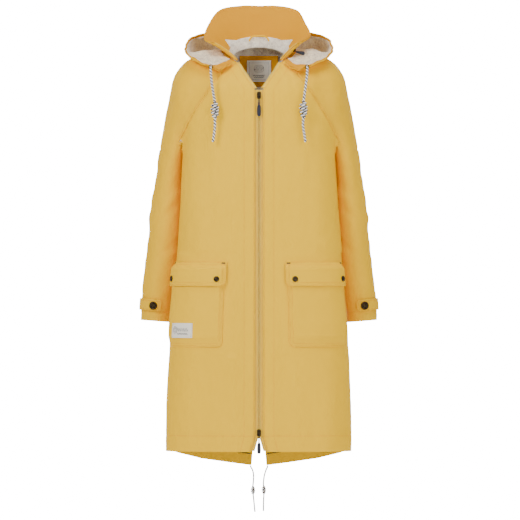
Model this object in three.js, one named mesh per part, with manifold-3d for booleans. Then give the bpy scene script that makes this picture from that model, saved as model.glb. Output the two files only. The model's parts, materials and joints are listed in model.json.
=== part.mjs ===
// A long hooded raincoat: raglan sleeves, stand collar, hood laid back, two-way front zip, flapped patch
// pockets, cuff tabs, drawcords in the hood and in the split tail. Millimetres, +Z up, the front faces -Y.
// "left" is the side at -X. The origin is the crown of the hang loop inside the back neck.
import * as THREE from 'three';
import { mergeVertices } from 'three/addons/utils/BufferGeometryUtils.js';
import Module from 'manifold-3d';

const wasm = await Module();
wasm.setup();

// ---------- driving dimensions ----------
const CLOTH = 3.0;            // shell cloth with its interlining
const PILE = 3.6;             // pile lining
const GAP = 0.4;              // clearance between sewn layers
const SEAM_GAP = 0.4;         // clearance between panels that are sewn edge to edge
const SIDE_SEAM_Y = 10;
const BODY_AXIS_Y = -20;      // the body is widest here
const FRONT_HEM_Z = -1024;
const TAIL_Z = FRONT_HEM_Z - 40;
const TAIL_SIDE_Z = FRONT_HEM_Z + 5;
const VENT_TOP_Z = FRONT_HEM_Z + 201;
const VENT_HALF = 19.5;
const ZIP_TOP_Z = -135;       // the closed front begins here
const ZIP_TOP_Y = -121;
const FRONT_SLOPE = 0.032;    // the front edge comes forward this much for each mm it goes down
const PLACKET_HALF = 10.5;    // half the strip of zip that shows between the fronts
const FRONT_SPREAD = 21;      // half the opening at the front hem
const LOWER_SLIDER_Z = FRONT_HEM_Z + 47;
const SPREAD_Z = FRONT_HEM_Z + 37;        // the rows part below this
const UPPER_SLIDER_Z = -150;
const NECK_HALF_X = 76;
const DRAFT_NECK = 76;       // the neck that the collar's edge and the hood's stations are drafted round
const NECK_FRONT_Z = -70;
const NECK_BACK_Z = -10;
const NECK_HALF_Y = 74.5;
const UNDERARM_Z = -262;
const CUFF_Z = -708;          // the sleeve's lower end on its inner edge
const LOOP_Y = 62;            // the hang loop, in the body's own frame
const LOOP_SPAN = 48;
const LOOP_RISE = 10;
const POCKET_TOP_Z = -588;
const POCKET_BOTTOM_Z = -765;
const POCKET_WIDTH = 158;     // along the cloth
const POCKET_SLACK = 7.5;
const POCKET_CLOTH = 1.8;
const FLAP_TOP_Z = -560;
const FLAP_HEIGHT = 62;
const FLAP_OVERHANG = 5;      // the flap is this much wider than the pocket at each end
const POCKET_CORNER = 13;
const SNAP_RADIUS = 7;
const SNAP_CAP = 2.6;
const BUTTON_RADIUS = 10.2;
const TAB_TOP_Z = -645;
const TAB_HEIGHT = 35;
const TAB_CLOTH = 2.6;
const HOOD_CLOTH = 2.4;
const HOOD_PILE = 3.2;
const COLLAR_CLOTH = 2.4;
const HOOD_CORD = 6.2;
const HEM_CORD = 3.8;
const ROW_GAP = 0.9;          // half the channel between the two rows of teeth
const ROW_WIDTH = 2.6;
const ROW_DEPTH = 2.2;
const TAPE_CLOTH = 1.0;
const TAPE_OUTER = 18;

// ---------- colours ----------
const finish = (color, roughness, metalness = 0) => ({ color, roughness, metalness });
const YELLOW = finish(0xeab85a, 0.62);
const SLEEVE_YELLOW = finish(0xefbd58, 0.62);
const FACING_YELLOW = finish(0xd6a548, 0.66);
const PILE_GREIGE = finish(0xbea48d, 0.95);
const HOOD_GREIGE = finish(0xd2b79c, 0.95);
const TAPE_YELLOW = finish(0xf0ca72, 0.7);
const BRONZE = finish(0x6e634a, 0.35, 0.9);
const NAVY = finish(0x20242f, 0.45);
const CREAM = finish(0xeee6d6, 0.8);
const CORD_WHITE = finish(0xd9d6d2, 0.8);

// ---------- meshes and solids ----------
const group = new THREE.Group();
group.position.y = -LOOP_Y;

function addPiece(name, geometry, { color, roughness, metalness }, place = null) {
  const mesh = new THREE.Mesh(geometry, new THREE.MeshStandardMaterial({ color, roughness, metalness }));
  mesh.name = name;
  if (place) mesh.applyMatrix4(place);
  group.add(mesh);
  return mesh;
}

function closedGeometry(points, faces) {
  let volume = 0;
  for (const [a, b, c] of faces) volume += points[a].dot(new THREE.Vector3().crossVectors(points[b], points[c]));
  const index = volume > 0 ? faces.flat() : faces.flatMap(([a, b, c]) => [a, c, b]);
  const geometry = new THREE.BufferGeometry();
  geometry.setAttribute('position', new THREE.Float32BufferAttribute(points.flatMap((p) => p.toArray()), 3));
  geometry.setIndex(index);
  return geometry;
}

function toSolid(geometry) {
  const bare = geometry.clone();
  bare.deleteAttribute('normal');
  bare.deleteAttribute('uv');
  const merged = mergeVertices(bare, 1e-4);
  return new wasm.Manifold(new wasm.Mesh({
    numProp: 3,
    vertProperties: new Float32Array(merged.attributes.position.array),
    triVerts: new Uint32Array(merged.index.array),
  }));
}

function toGeometry(solid) {
  const mesh = solid.getMesh();
  const geometry = new THREE.BufferGeometry();
  geometry.setAttribute('position', new THREE.BufferAttribute(new Float32Array(mesh.vertProperties), 3));
  geometry.setIndex(new THREE.BufferAttribute(new Uint32Array(mesh.triVerts), 1));
  return geometry;
}

const V = (x, y, z) => new THREE.Vector3(x, y, z);
const mix = (a, b, t) => a + (b - a) * t;
const smooth = (t) => { const s = Math.min(Math.max(t, 0), 1); return s * s * (3 - 2 * s); };
const joinAll = (solids) => solids.reduce((a, b) => a.add(b));

// a solid between stacked rings with as many points each, closed by a fan at each end
function loft(rings) {
  const points = rings.flat();
  const faces = [];
  const n = rings[0].length;
  for (let r = 0; r + 1 < rings.length; r++) {
    for (let i = 0; i < n; i++) {
      const a = r * n + i, b = r * n + ((i + 1) % n);
      faces.push([a, b, b + n], [a, b + n, a + n]);
    }
  }
  for (const r of [0, rings.length - 1]) {
    const centre = rings[r].reduce((sum, p) => sum.add(p), V(0, 0, 0)).divideScalar(n);
    const hub = points.push(centre) - 1;
    for (let i = 0; i < n; i++) {
      const a = r * n + i, b = r * n + ((i + 1) % n);
      faces.push(r ? [a, b, hub] : [b, a, hub]);
    }
  }
  return closedGeometry(points, faces);
}

// a cloth sheet: a surface point(u, v), thickened from inner(u, v) to outer(u, v) along its normal
function sheet(point, across, along, inner, outer) {
  const value = (f, u, v) => (typeof f === 'function' ? f(u, v) : f);
  const normal = (u, v) => {
    const e = 0.004;
    const du = point(Math.min(u + e, 1), v).sub(point(Math.max(u - e, 0), v));
    const dv = point(u, Math.min(v + e, 1)).sub(point(u, Math.max(v - e, 0)));
    return du.cross(dv).normalize();
  };
  const points = [], faces = [];
  const row = along + 1, layer = (across + 1) * row;
  for (const offset of [inner, outer]) {
    for (let i = 0; i <= across; i++) {
      for (let j = 0; j <= along; j++) {
        const u = i / across, v = j / along;
        points.push(point(u, v).addScaledVector(normal(u, v), value(offset, u, v)));
      }
    }
  }
  for (let i = 0; i < across; i++) {
    for (let j = 0; j < along; j++) {
      const a = i * row + j, b = a + row, c = b + 1, d = a + 1;
      faces.push([a, c, b], [a, d, c], [a + layer, b + layer, c + layer], [a + layer, c + layer, d + layer]);
    }
  }
  const rim = [];
  for (let i = 0; i < across; i++) rim.push(i * row);
  for (let j = 0; j < along; j++) rim.push(across * row + j);
  for (let i = across; i > 0; i--) rim.push(i * row + along);
  for (let j = along; j > 0; j--) rim.push(j);
  rim.forEach((a, k) => {
    const b = rim[(k + 1) % rim.length];
    faces.push([a, b, b + layer], [a, b + layer, a + layer]);
  });
  return closedGeometry(points, faces);
}

// an outline in X and Z, carried along Y
function prismY(outline, y0, y1) {
  const shape = new THREE.Shape(outline.map(([x, z]) => new THREE.Vector2(x, z)));
  const geometry = new THREE.ExtrudeGeometry(shape, { depth: y1 - y0, bevelEnabled: false });
  return geometry.rotateX(Math.PI / 2).translate(0, y1, 0);
}

function boxBetween([x0, y0, z0], [x1, y1, z1]) {
  const geometry = new THREE.BoxGeometry(x1 - x0, y1 - y0, z1 - z0);
  return geometry.translate((x0 + x1) / 2, (y0 + y1) / 2, (z0 + z1) / 2);
}

function tube(points, diameter, sides, steps) {
  const path = new THREE.CatmullRomCurve3(points);
  const section = new THREE.Shape();
  for (let i = 0; i < sides; i++) {
    const angle = (2 * Math.PI * i) / sides;
    const [x, y] = [Math.cos(angle) * diameter / 2, Math.sin(angle) * diameter / 2];
    i ? section.lineTo(x, y) : section.moveTo(x, y);
  }
  return new THREE.ExtrudeGeometry(section, { steps, extrudePath: path, bevelEnabled: false });
}

// ---------- the coat's body ----------
// front level, back level, half width, front depth, back depth
const frontEdgeY = (z) => ZIP_TOP_Y + FRONT_SLOPE * (z - ZIP_TOP_Z);
const SKIRT_Z = FRONT_HEM_Z + 64, BELOW_HEM_Z = FRONT_HEM_Z - 66;
const BODY_RINGS = [
  [NECK_FRONT_Z, NECK_BACK_Z, NECK_HALF_X, -NECK_HALF_Y, NECK_HALF_Y],
  [-88, -24, 122, -92, 98],
  [-108, -56, 158, -108, 112],
  [ZIP_TOP_Z, -105, 181, ZIP_TOP_Y, 120],
  [-195, -180, 187, frontEdgeY(-195), 122],
  [-280, -280, 187, frontEdgeY(-280), 120],
  [-370, -370, 191, frontEdgeY(-370), 117],
  [-455, -455, 196, frontEdgeY(-455), 117],
  [-550, -550, 203, frontEdgeY(-550), 122],
  [-705, -705, 217, frontEdgeY(-705), 134],
  [-845, -845, 223, frontEdgeY(-845), 144],
  [SKIRT_Z, SKIRT_Z, 228, frontEdgeY(SKIRT_Z), 150],
  [BELOW_HEM_Z, BELOW_HEM_Z, 228, frontEdgeY(BELOW_HEM_Z), 152],
];
const BODY_SIDES = 24;
const FRONT_POWER = 2 / 2.6;   // the front is fuller than an ellipse, the back is an ellipse
const RING_SINK = [1, 0.9, 0.7, 0.35, 0.1];

// angle 0 points to +X, a quarter turn to the back; level counts rings from the neck
function bodyPoint(angle, level, inset = 0) {
  const r = Math.min(Math.floor(level), BODY_RINGS.length - 2);
  const t = level - r;
  const ringAt = (k) => {
    const [zFront, zBack, half, yFront, yBack] = BODY_RINGS[k];
    const c = Math.cos(angle), s = Math.sin(angle);
    const power = s < 0 ? FRONT_POWER : 1;
    const centre = k === 0 ? 0 : k === 1 ? BODY_AXIS_Y / 2 : BODY_AXIS_Y;
    const depth = (s < 0 ? centre - yFront : yBack - centre) - inset;
    const x = Math.sign(c) * Math.abs(c) ** power * (half - inset);
    const y = centre + Math.sign(s) * Math.abs(s) ** power * depth;
    const sink = inset * (RING_SINK[k] ?? 0);
    return V(x, y, mix(zFront, zBack, (y - yFront) / (yBack - yFront)) - sink);
  };
  return ringAt(r).lerp(ringAt(r + 1), t);
}

function bodyVolume(inset) {
  const rings = BODY_RINGS.map((_, level) =>
    Array.from({ length: BODY_SIDES }, (_, i) => bodyPoint((2 * Math.PI * i) / BODY_SIDES, level, inset)));
  return toSolid(loft(rings));
}

// the same point on the flat facets between the volume's edges
function facetPoint(angle, level, inset = 0) {
  const step = (2 * Math.PI) / BODY_SIDES;
  const k = Math.floor(angle / step);
  return bodyPoint(k * step, level, inset).lerp(bodyPoint((k + 1) * step, level, inset), angle / step - k);
}

// the surface point at a distance from the middle and a height, on the front or the back half
function surfaceAt(point, x, z, back, inset = 0) {
  const at = (level) => {
    const r = Math.min(Math.floor(level), BODY_RINGS.length - 2);
    const half = mix(BODY_RINGS[r][2], BODY_RINGS[r + 1][2], level - r) - inset;
    const c = (Math.abs(x) / half) ** (back ? 1 : 1 / FRONT_POWER);
    const angle = (back ? 1 : -1) * Math.acos(Math.sign(x) * Math.min(c, 1));
    return point(angle, level, inset);
  };
  let [low, high] = [0, BODY_RINGS.length - 1];
  for (let i = 0; i < 30; i++) {
    const middle = (low + high) / 2;
    if (at(middle).z > z) low = middle; else high = middle;
  }
  return at(low);
}

// the ring level at a height, below the chest where the rings lie level
function levelAt(z) {
  const r = BODY_RINGS.findIndex((ring, k) => k > 4 && ring[0] <= z) - 1;
  return r + (BODY_RINGS[r][0] - z) / (BODY_RINGS[r][0] - BODY_RINGS[r + 1][0]);
}

// ---------- the sleeves ----------
// outer edge x z, inner edge x z, middle y, half depth; all for the side at +X
const SLEEVE_RINGS = [
  [60, -56, 90, -200, 0, 80],
  [120, -45, 125, -228, 6, 96],
  [174, -59, 148, -250, 14, 100],
  [208, -98, 165, -262, 22, 96],
  [220, -146, 173, -272, 28, 88],
  [232, -205, 179, -290, 33, 80],
  [246, -280, 183, -325, 38, 73],
  [256, -356, 186, -385, 42, 68],
  [267, -431, 188, -452, 46, 64],
  [275, -515, 191, -527, 50, 60],
  [285, -600, 201, -607, 53, 56],
  [291, -668, 213, -674, 55, 52],
  [292, -702, 217, CUFF_Z, 56, 50],
];
const SLEEVE_SIDES = 12;

// angle 0 is the outer edge, a quarter turn the back
function sleevePoint(side, angle, level, inset = 0) {
  const r = Math.min(Math.floor(level), SLEEVE_RINGS.length - 2);
  const ringAt = (k) => {
    const [xo, zo, xi, zi, y, depth] = SLEEVE_RINGS[k];
    const half = V((xo - xi) / 2, 0, (zo - zi) / 2);
    half.setLength(half.length() - inset);
    const centre = V((xo + xi) / 2, y, (zo + zi) / 2);
    const p = centre.addScaledVector(half, Math.cos(angle));
    return V(p.x * side, p.y + (depth - inset) * Math.sin(angle), p.z);
  };
  return ringAt(r).lerp(ringAt(r + 1), level - r);
}

function sleeveVolume(side, inset, beyond = 0) {
  const last = SLEEVE_RINGS.length - 1;
  const rings = SLEEVE_RINGS.map((_, level) =>
    Array.from({ length: SLEEVE_SIDES }, (_, i) => {
      const p = sleevePoint(side, (2 * Math.PI * i) / SLEEVE_SIDES, level, inset);
      return level === last ? p.add(V(0, 0, -beyond)) : p;
    }));
  return toSolid(loft(rings));
}

function coatVolume(inset, beyond = 0) {
  return joinAll([bodyVolume(inset), sleeveVolume(-1, inset, beyond), sleeveVolume(1, inset, beyond)]);
}

// ---------- cutters ----------
const FAR = 420;
const FLOOR = FRONT_HEM_Z - 276;   // below everything that is cut
const NECK_HOLE = toSolid(loft([-330, 60].map((z) =>
  Array.from({ length: BODY_SIDES }, (_, i) => {
    const angle = (2 * Math.PI * i) / BODY_SIDES;
    return V(Math.cos(angle) * (NECK_HALF_X - CLOTH), Math.sin(angle) * (NECK_HALF_Y - CLOTH), z);
  }))));

const ARM_END_Z = -760, RAGLAN_TOP_Z = 30;
// everything on one side of the raglan seams, and of the space between body and sleeve, which below
// the underarm runs slantwise: level, distance from the middle at the body's widest, lean
const ARM_GAPS = [[UNDERARM_Z, 190.5, 0.25], [-350, 197, 0.32], [-455, 204.5, 0.37], [-526, 210.5, 0.4],
  [-580, 217, 0.4], [-705, 232, 0.45], [ARM_END_Z, 236, 0.45]];
function armZone(side, grow) {
  const rings = [-160, -80, -40, -10, 20, 50, 80, 160].map((y) => {
    const gaps = ARM_GAPS.map(([z, x, lean]) => [x - lean * (y - BODY_AXIS_Y) - grow, z]);
    return [[8 - grow, RAGLAN_TOP_Z], ...gaps, [FAR, ARM_END_Z], [FAR, RAGLAN_TOP_Z]].map(([x, z]) => V(x * side, y, z));
  });
  return toSolid(loft(rings));
}

const frontOpening = (extra) => [
  [-(PLACKET_HALF + extra), ZIP_TOP_Z], [-(52 + extra), NECK_FRONT_Z + 8], [-(52 + extra), 60],
  [52 + extra, 60], [52 + extra, NECK_FRONT_Z + 8], [PLACKET_HALF + extra, ZIP_TOP_Z],
  [PLACKET_HALF + extra, SPREAD_Z], [FRONT_SPREAD + extra, FRONT_HEM_Z],
  [FRONT_SPREAD + extra, FLOOR], [-(FRONT_SPREAD + extra), FLOOR], [-(FRONT_SPREAD + extra), FRONT_HEM_Z],
  [-(PLACKET_HALF + extra), SPREAD_Z],
];

const tailOutline = (rise) => {
  const half = [[232, TAIL_SIDE_Z], [196, TAIL_Z + 32], [143, TAIL_Z + 18], [78, TAIL_Z + 8], [VENT_HALF, TAIL_Z]];
  const edge = [...half.map(([x, z]) => [-x, z + rise]), ...half.reverse().map(([x, z]) => [x, z + rise])];
  return [[-FAR, TAIL_SIDE_Z + rise], ...edge, [FAR, TAIL_SIDE_Z + rise], [FAR, FLOOR], [-FAR, FLOOR]];
};
const ventOutline = (extra) =>
  [[-0.3 - extra, VENT_TOP_Z + extra], [0.3 + extra, VENT_TOP_Z + extra],
    [VENT_HALF + extra + 2, TAIL_Z - 36], [-VENT_HALF - extra - 2, TAIL_Z - 36]];

// ---------- panels of one layer ----------
function coatPanels(outerInset, innerInset, { edge, hemRise, tailRise, ventExtra, cuffRise }) {
  const layer = coatVolume(outerInset).subtract(coatVolume(innerInset, 20)).subtract(NECK_HOLE);
  const halfGap = SEAM_GAP / 2;
  const sleeves = {};
  let body = layer;
  for (const side of [-1, 1]) {
    const cuff = toSolid(boxBetween([-FAR, -FAR, ARM_END_Z], [FAR, FAR, CUFF_Z - 4 + cuffRise]));
    sleeves[side] = layer.intersect(armZone(side, -halfGap)).subtract(cuff);
    body = body.subtract(armZone(side, halfGap));
  }
  const front = body.subtract(toSolid(boxBetween([-FAR, SIDE_SEAM_Y - halfGap, FLOOR], [FAR, FAR, 200])))
    .subtract(toSolid(prismY(frontOpening(edge), -300, 0)))
    .subtract(toSolid(boxBetween([-FAR, -FAR, FLOOR], [FAR, FAR, FRONT_HEM_Z + hemRise])));
  const leftHalf = toSolid(boxBetween([-FAR, -FAR, FLOOR], [0, FAR, 200]));
  const back = body.subtract(toSolid(boxBetween([-FAR, -FAR, FLOOR], [FAR, SIDE_SEAM_Y + halfGap, 200])))
    .subtract(toSolid(prismY(tailOutline(tailRise), -10, 300)))
    .subtract(toSolid(prismY(ventOutline(ventExtra), -10, 300)));
  return { left: front.intersect(leftHalf), right: front.subtract(leftHalf), back, sleeves };
}

const shell = coatPanels(0, CLOTH, { edge: 0, hemRise: 0, tailRise: 0, ventExtra: 0, cuffRise: 0 });
addPiece('front_left_panel', toGeometry(shell.left), YELLOW);
addPiece('front_right_panel', toGeometry(shell.right), YELLOW);
addPiece('back_panel', toGeometry(shell.back), YELLOW);
addPiece('left_sleeve', toGeometry(shell.sleeves[-1]), SLEEVE_YELLOW);
addPiece('right_sleeve', toGeometry(shell.sleeves[1]), SLEEVE_YELLOW);

// the lining hangs one clearance inside the shell and stops short of the hems and the zip
const liningOuter = CLOTH + GAP, liningInner = CLOTH + GAP + PILE;
const lining = coatPanels(liningOuter, liningInner,
  { edge: TAPE_OUTER - PLACKET_HALF + 1.5, hemRise: 38, tailRise: 52, ventExtra: 14, cuffRise: 22 });
addPiece('front_left_lining', toGeometry(lining.left), PILE_GREIGE);
addPiece('front_right_lining', toGeometry(lining.right), PILE_GREIGE);
addPiece('back_lining', toGeometry(lining.back), PILE_GREIGE);
addPiece('left_sleeve_lining', toGeometry(lining.sleeves[-1]), PILE_GREIGE);
addPiece('right_sleeve_lining', toGeometry(lining.sleeves[1]), PILE_GREIGE);

// ---------- collar ----------
const degrees = Math.PI / 180;
const NECK_START = 230 * degrees, NECK_SWEEP = 280 * degrees;
const neckAngle = (u) => NECK_START - NECK_SWEEP * u;
const widen = (x) => (x * NECK_HALF_X) / DRAFT_NECK;
const COLLAR_EDGE = new THREE.CatmullRomCurve3([
  V(-114, -66, -21), V(-136, -14, -10), V(-126, 40, 26), V(-96, 82, 58), V(-42, 97, 69), V(0, 99, 69),
  V(42, 97, 69), V(92, 82, 58), V(116, 40, 30), V(128, -14, -4), V(98, -66, -23),
].map((p) => V(widen(p.x), p.y, p.z)));
const COLLAR_LIFT = 14;

function collarPoint(u, v) {
  const base = bodyPoint(neckAngle(u), 0).add(V(0, 0, GAP));
  return base.lerp(COLLAR_EDGE.getPoint(u), v).add(V(0, 0, COLLAR_LIFT * v * (1 - v)));
}
const facingInner = 2 * COLLAR_CLOTH + GAP;   // the sheet's normal points into the neck
const nearCoat = coatVolume(-GAP);
const offCoat = (geometry) => toGeometry(toSolid(geometry).subtract(nearCoat));
addPiece('collar_outer', offCoat(sheet(collarPoint, 18, 3, 0, COLLAR_CLOTH)), YELLOW);
addPiece('collar_facing', offCoat(sheet(collarPoint, 18, 3, COLLAR_CLOTH + GAP, facingInner)), FACING_YELLOW);

// ---------- hood, laid back behind the collar ----------
// stations from the left tip round to the centre back, each from the neck seam out to the rim
const HOOD_STATIONS = [
  [[-62, -76, -66], [-68, -82, -70], [-74, -88, -74], [-80, -93, -78], [-86, -98, -82], [-92, -102, -86],
    [-98, -105, -89]],
  [[-84, -38, -56], [-96, -46, -58], [-110, -54, -61], [-126, -62, -65], [-142, -70, -67], [-156, -74, -63],
    [-166, -74, -57]],
  [[-92, 6, -40], [-106, 5, -38], [-122, 4, -39], [-140, 2, -42], [-158, 0, -46], [-174, -3, -43],
    [-181, -6, -29]],
  [[-66, 62, -22], [-84, 86, -34], [-100, 112, -66], [-112, 134, -104], [-132, 140, -92], [-152, 122, -42],
    [-150, 96, 4]],
  [[0, 82, -6], [0, 104, -22], [0, 126, -62], [0, 142, -130], [0, 172, -140], [0, 186, -60], [0, 170, 25]],
];
const hoodRows = [...HOOD_STATIONS, ...HOOD_STATIONS.slice(0, -1).reverse().map((row) =>
  row.map(([x, y, z]) => [-x, y, z]))];
const hoodLines = hoodRows[0].map((_, k) => new THREE.CatmullRomCurve3(hoodRows.map((row) =>
  V(widen(row[k][0]), row[k][1], row[k][2]))));
const hoodPoint = (u, v) => new THREE.CatmullRomCurve3(hoodLines.map((line) => line.getPoint(u))).getPoint(v);
const collarSpace = toSolid(sheet(collarPoint, 18, 3, -GAP, facingInner + 1));
const aroundCoat = nearCoat.add(collarSpace);
const hoodLayer = (inner, outer) => toGeometry(toSolid(sheet(hoodPoint, 18, 7, inner, outer)).subtract(aroundCoat));
addPiece('hood_shell', hoodLayer(-HOOD_CLOTH, 0), YELLOW);
addPiece('hood_lining', hoodLayer(GAP, GAP + HOOD_PILE), HOOD_GREIGE);

const turnedRing = (radius, wire, segments, sides) => new THREE.TorusGeometry(radius, wire, sides, segments);
const EYELET_RADIUS = 4.6;
for (const [side, name] of [[-1, 'left'], [1, 'right']]) {
  const eyelet = turnedRing(EYELET_RADIUS, 1.0, 14, 5);
  const place = new THREE.Matrix4().makeRotationFromEuler(new THREE.Euler(Math.PI / 2, 0, 0));
  addPiece(`${name}_hood_eyelet`, eyelet, BRONZE, place.setPosition(118 * side, -103, -80));
}

// the hood's zip ends at the right front of the neck seam, with a soft puller lying in the hood
const PULLER_LENGTH = 24, PULLER_HALF = 5, PULLER_CLOTH = 2.2;
const zipEnd = { u: 0.95, v: 0.42 };
const collarNormal = (u, v) => collarPoint(u, v + 0.02).sub(collarPoint(u, v - 0.02))
  .cross(collarPoint(u + 0.02, v).sub(collarPoint(u - 0.02, v))).normalize();
const zipEndNormal = collarNormal(zipEnd.u, zipEnd.v);
const zipEndPoint = collarPoint(zipEnd.u, zipEnd.v);
const endSlider = new THREE.BoxGeometry(6, 3, 9).applyMatrix4(new THREE.Matrix4().compose(
  zipEndPoint.clone().addScaledVector(zipEndNormal, 2.2),
  new THREE.Quaternion().setFromUnitVectors(V(0, 1, 0), zipEndNormal), V(1, 1, 1)));
addPiece('hood_zip_slider', endSlider, BRONZE);
const puller = new THREE.Shape();
puller.moveTo(0, 1.4).quadraticCurveTo(4, 2.2, PULLER_LENGTH * 0.75, PULLER_HALF);
puller.quadraticCurveTo(PULLER_LENGTH, PULLER_HALF, PULLER_LENGTH, 0);
puller.quadraticCurveTo(PULLER_LENGTH, -PULLER_HALF, PULLER_LENGTH * 0.75, -PULLER_HALF);
puller.quadraticCurveTo(4, -2.2, 0, -1.4).closePath();
const PULLER_PITCH = 12 * degrees;
const pullerBase = zipEndPoint.clone().addScaledVector(zipEndNormal, 5.6);
const pullerSolid = new THREE.ExtrudeGeometry(puller, { depth: PULLER_CLOTH, bevelEnabled: false, curveSegments: 4 })
  .translate(0, 0, -PULLER_CLOTH / 2).rotateX(Math.PI / 2).rotateY(PULLER_PITCH)
  .translate(pullerBase.x, pullerBase.y, pullerBase.z);
addPiece('hood_zip_puller', pullerSolid, NAVY);

// ---------- back neck ----------
const backPatch = (half, top, bottom, taper) => (u, v) =>
  surfaceAt(facetPoint, mix(-half, half, u) * (1 - taper * v * v), mix(top, bottom, v), true, liningInner);
const PATCH_CLOTH = 1.0;
const patchOffset = -GAP - 0.3;
addPiece('back_neck_patch', sheet(backPatch(58, -49, -150, 0.3), 8, 5, patchOffset - PATCH_CLOTH, patchOffset),
  FACING_YELLOW);
const labelOffset = patchOffset - PATCH_CLOTH - 3 * GAP;
addPiece('neck_label', sheet(backPatch(31, -58, -113, 0), 6, 4, labelOffset - 0.8, labelOffset), CREAM);
const LOOP_STRAP = 4;
const loopHalf = LOOP_SPAN / 2;
addPiece('hang_loop', tube([
  V(-loopHalf, LOOP_Y + 1, -LOOP_RISE - 3), V(-loopHalf + 1.5, LOOP_Y + 0.6, -LOOP_RISE + 2),
  V(-loopHalf + 8, LOOP_Y + 0.2, -1.5), V(0, LOOP_Y, 0), V(loopHalf - 8, LOOP_Y + 0.2, -1.5),
  V(loopHalf - 1.5, LOOP_Y + 0.6, -LOOP_RISE + 2), V(loopHalf, LOOP_Y + 1, -LOOP_RISE - 3),
], LOOP_STRAP, 8, 18), YELLOW);

// ---------- zip ----------
// a strip that follows the front edge: x from x0 to x1, depth behind the front edge from d0 to d1
const spreadAt = (z) => Math.max(0, ((SPREAD_Z - z) / (SPREAD_Z - FRONT_HEM_Z)) * (FRONT_SPREAD - PLACKET_HALF));
function frontStrip(side, [x0, x1], [d0, d1], levels) {
  return loft(levels.map((z) => [[x0, d0], [x1, d0], [x1, d1], [x0, d1]].map(([x, d]) =>
    V(side * (x + spreadAt(z)), frontEdgeY(z) + d, z))));
}
const tapeDepth = CLOTH + GAP + 0.9;   // the cloth curves back a little beside the zip
const rowBack = tapeDepth - 0.3, rowFront = rowBack - ROW_DEPTH;
const zipLevels = [ZIP_TOP_Z - 2, SPREAD_Z, FRONT_HEM_Z + 2];
for (const [side, name] of [[-1, 'left'], [1, 'right']]) {
  addPiece(`${name}_zip_tape`,
    frontStrip(side, [ROW_GAP, TAPE_OUTER], [tapeDepth, tapeDepth + TAPE_CLOTH], zipLevels), TAPE_YELLOW);
  addPiece(`${name}_zip_row`,
    frontStrip(side, [ROW_GAP, ROW_GAP + ROW_WIDTH], [rowFront, rowBack], zipLevels), TAPE_YELLOW);
}
const WIND_CLOTH = 1.6;
const windFlap = (u, v) =>
  surfaceAt(facetPoint, mix(-8, 40, u), mix(ZIP_TOP_Z - 8, SPREAD_Z, v), false, liningInner);
addPiece('wind_flap', sheet(windFlap, 4, 8, GAP + 0.5, GAP + 0.5 + WIND_CLOTH), FACING_YELLOW);

// the slider: a front plate, a rear plate and a web between the rows, with side walls and a bridge
const SLIDER_LENGTH = 17;
const SLIDER_WALL = 1.2;
const SLIDER_PLAY = 0.4;
const rowEdge = ROW_GAP + ROW_WIDTH;
const BRIDGE_HALF = 1.3, BRIDGE_RISE = 2.6, BRIDGE_BAR = 1.4;
function sliderGeometry() {
  const half = SLIDER_LENGTH / 2;
  const plateBack = rowFront - SLIDER_PLAY, plateFront = plateBack - SLIDER_WALL;
  const outer = rowEdge + SLIDER_PLAY + SLIDER_WALL;
  const rear = tapeDepth + TAPE_CLOTH + SLIDER_PLAY;
  const web = ROW_GAP - SLIDER_PLAY + 0.1;
  const block = (a, b) => toSolid(boxBetween(a, b));
  const sides = [-1, 1].map((side) => block(
    [Math.min(side * (outer - SLIDER_WALL), side * outer), plateBack - 0.2, -half],
    [Math.max(side * (outer - SLIDER_WALL), side * outer), rowBack - 0.1, half]));
  const arch = block([-BRIDGE_HALF, plateFront - BRIDGE_RISE - BRIDGE_BAR, -5], [BRIDGE_HALF, plateFront + 0.2, 5])
    .subtract(block([-3, plateFront - BRIDGE_RISE, -3], [3, plateFront, 3]));
  return toGeometry(joinAll([
    block([-outer, plateFront, -half], [outer, plateBack, half]),
    block([-outer + 1, rear, -half], [outer - 1, rear + SLIDER_WALL, half]),
    block([-web, plateBack - 0.2, -2.5], [web, rear + 0.2, 2.5]),
    ...sides, arch,
  ]));
}
const frontTilt = new THREE.Matrix4().makeRotationX(-Math.atan(FRONT_SLOPE));
const atFront = (z) => frontTilt.clone().setPosition(0, frontEdgeY(z), z);
const eyeDepth = rowFront - SLIDER_PLAY - SLIDER_WALL - BRIDGE_RISE / 2;

// the pull hangs from the bridge: a ring, and a stem with a moulded grip
const PULL_RING = 4.4, PULL_WIRE = 0.75;
const STEM_LENGTH = 15, GRIP_LENGTH = 27, GRIP_HALF = 5, STEM_HALF = 1.6, GRIP_DEPTH = 3.2;
function gripGeometry() {
  const top = -2 * PULL_RING - PULL_WIRE - 0.3;
  const neck = top - STEM_LENGTH, foot = neck - GRIP_LENGTH;
  const outline = new THREE.Shape();
  outline.moveTo(-STEM_HALF, top).lineTo(-STEM_HALF, neck + 3);
  outline.quadraticCurveTo(-GRIP_HALF, neck, -GRIP_HALF + 0.4, neck - 6);
  outline.lineTo(-GRIP_HALF, foot + 4).quadraticCurveTo(-GRIP_HALF, foot, 0, foot);
  outline.quadraticCurveTo(GRIP_HALF, foot, GRIP_HALF, foot + 4);
  outline.lineTo(GRIP_HALF - 0.4, neck - 6).quadraticCurveTo(GRIP_HALF, neck, STEM_HALF, neck + 3);
  outline.lineTo(STEM_HALF, top);
  const geometry = new THREE.ExtrudeGeometry(outline, { depth: GRIP_DEPTH, bevelEnabled: false, curveSegments: 4 });
  return geometry.translate(0, 0, -GRIP_DEPTH / 2).rotateX(Math.PI / 2);
}
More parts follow.
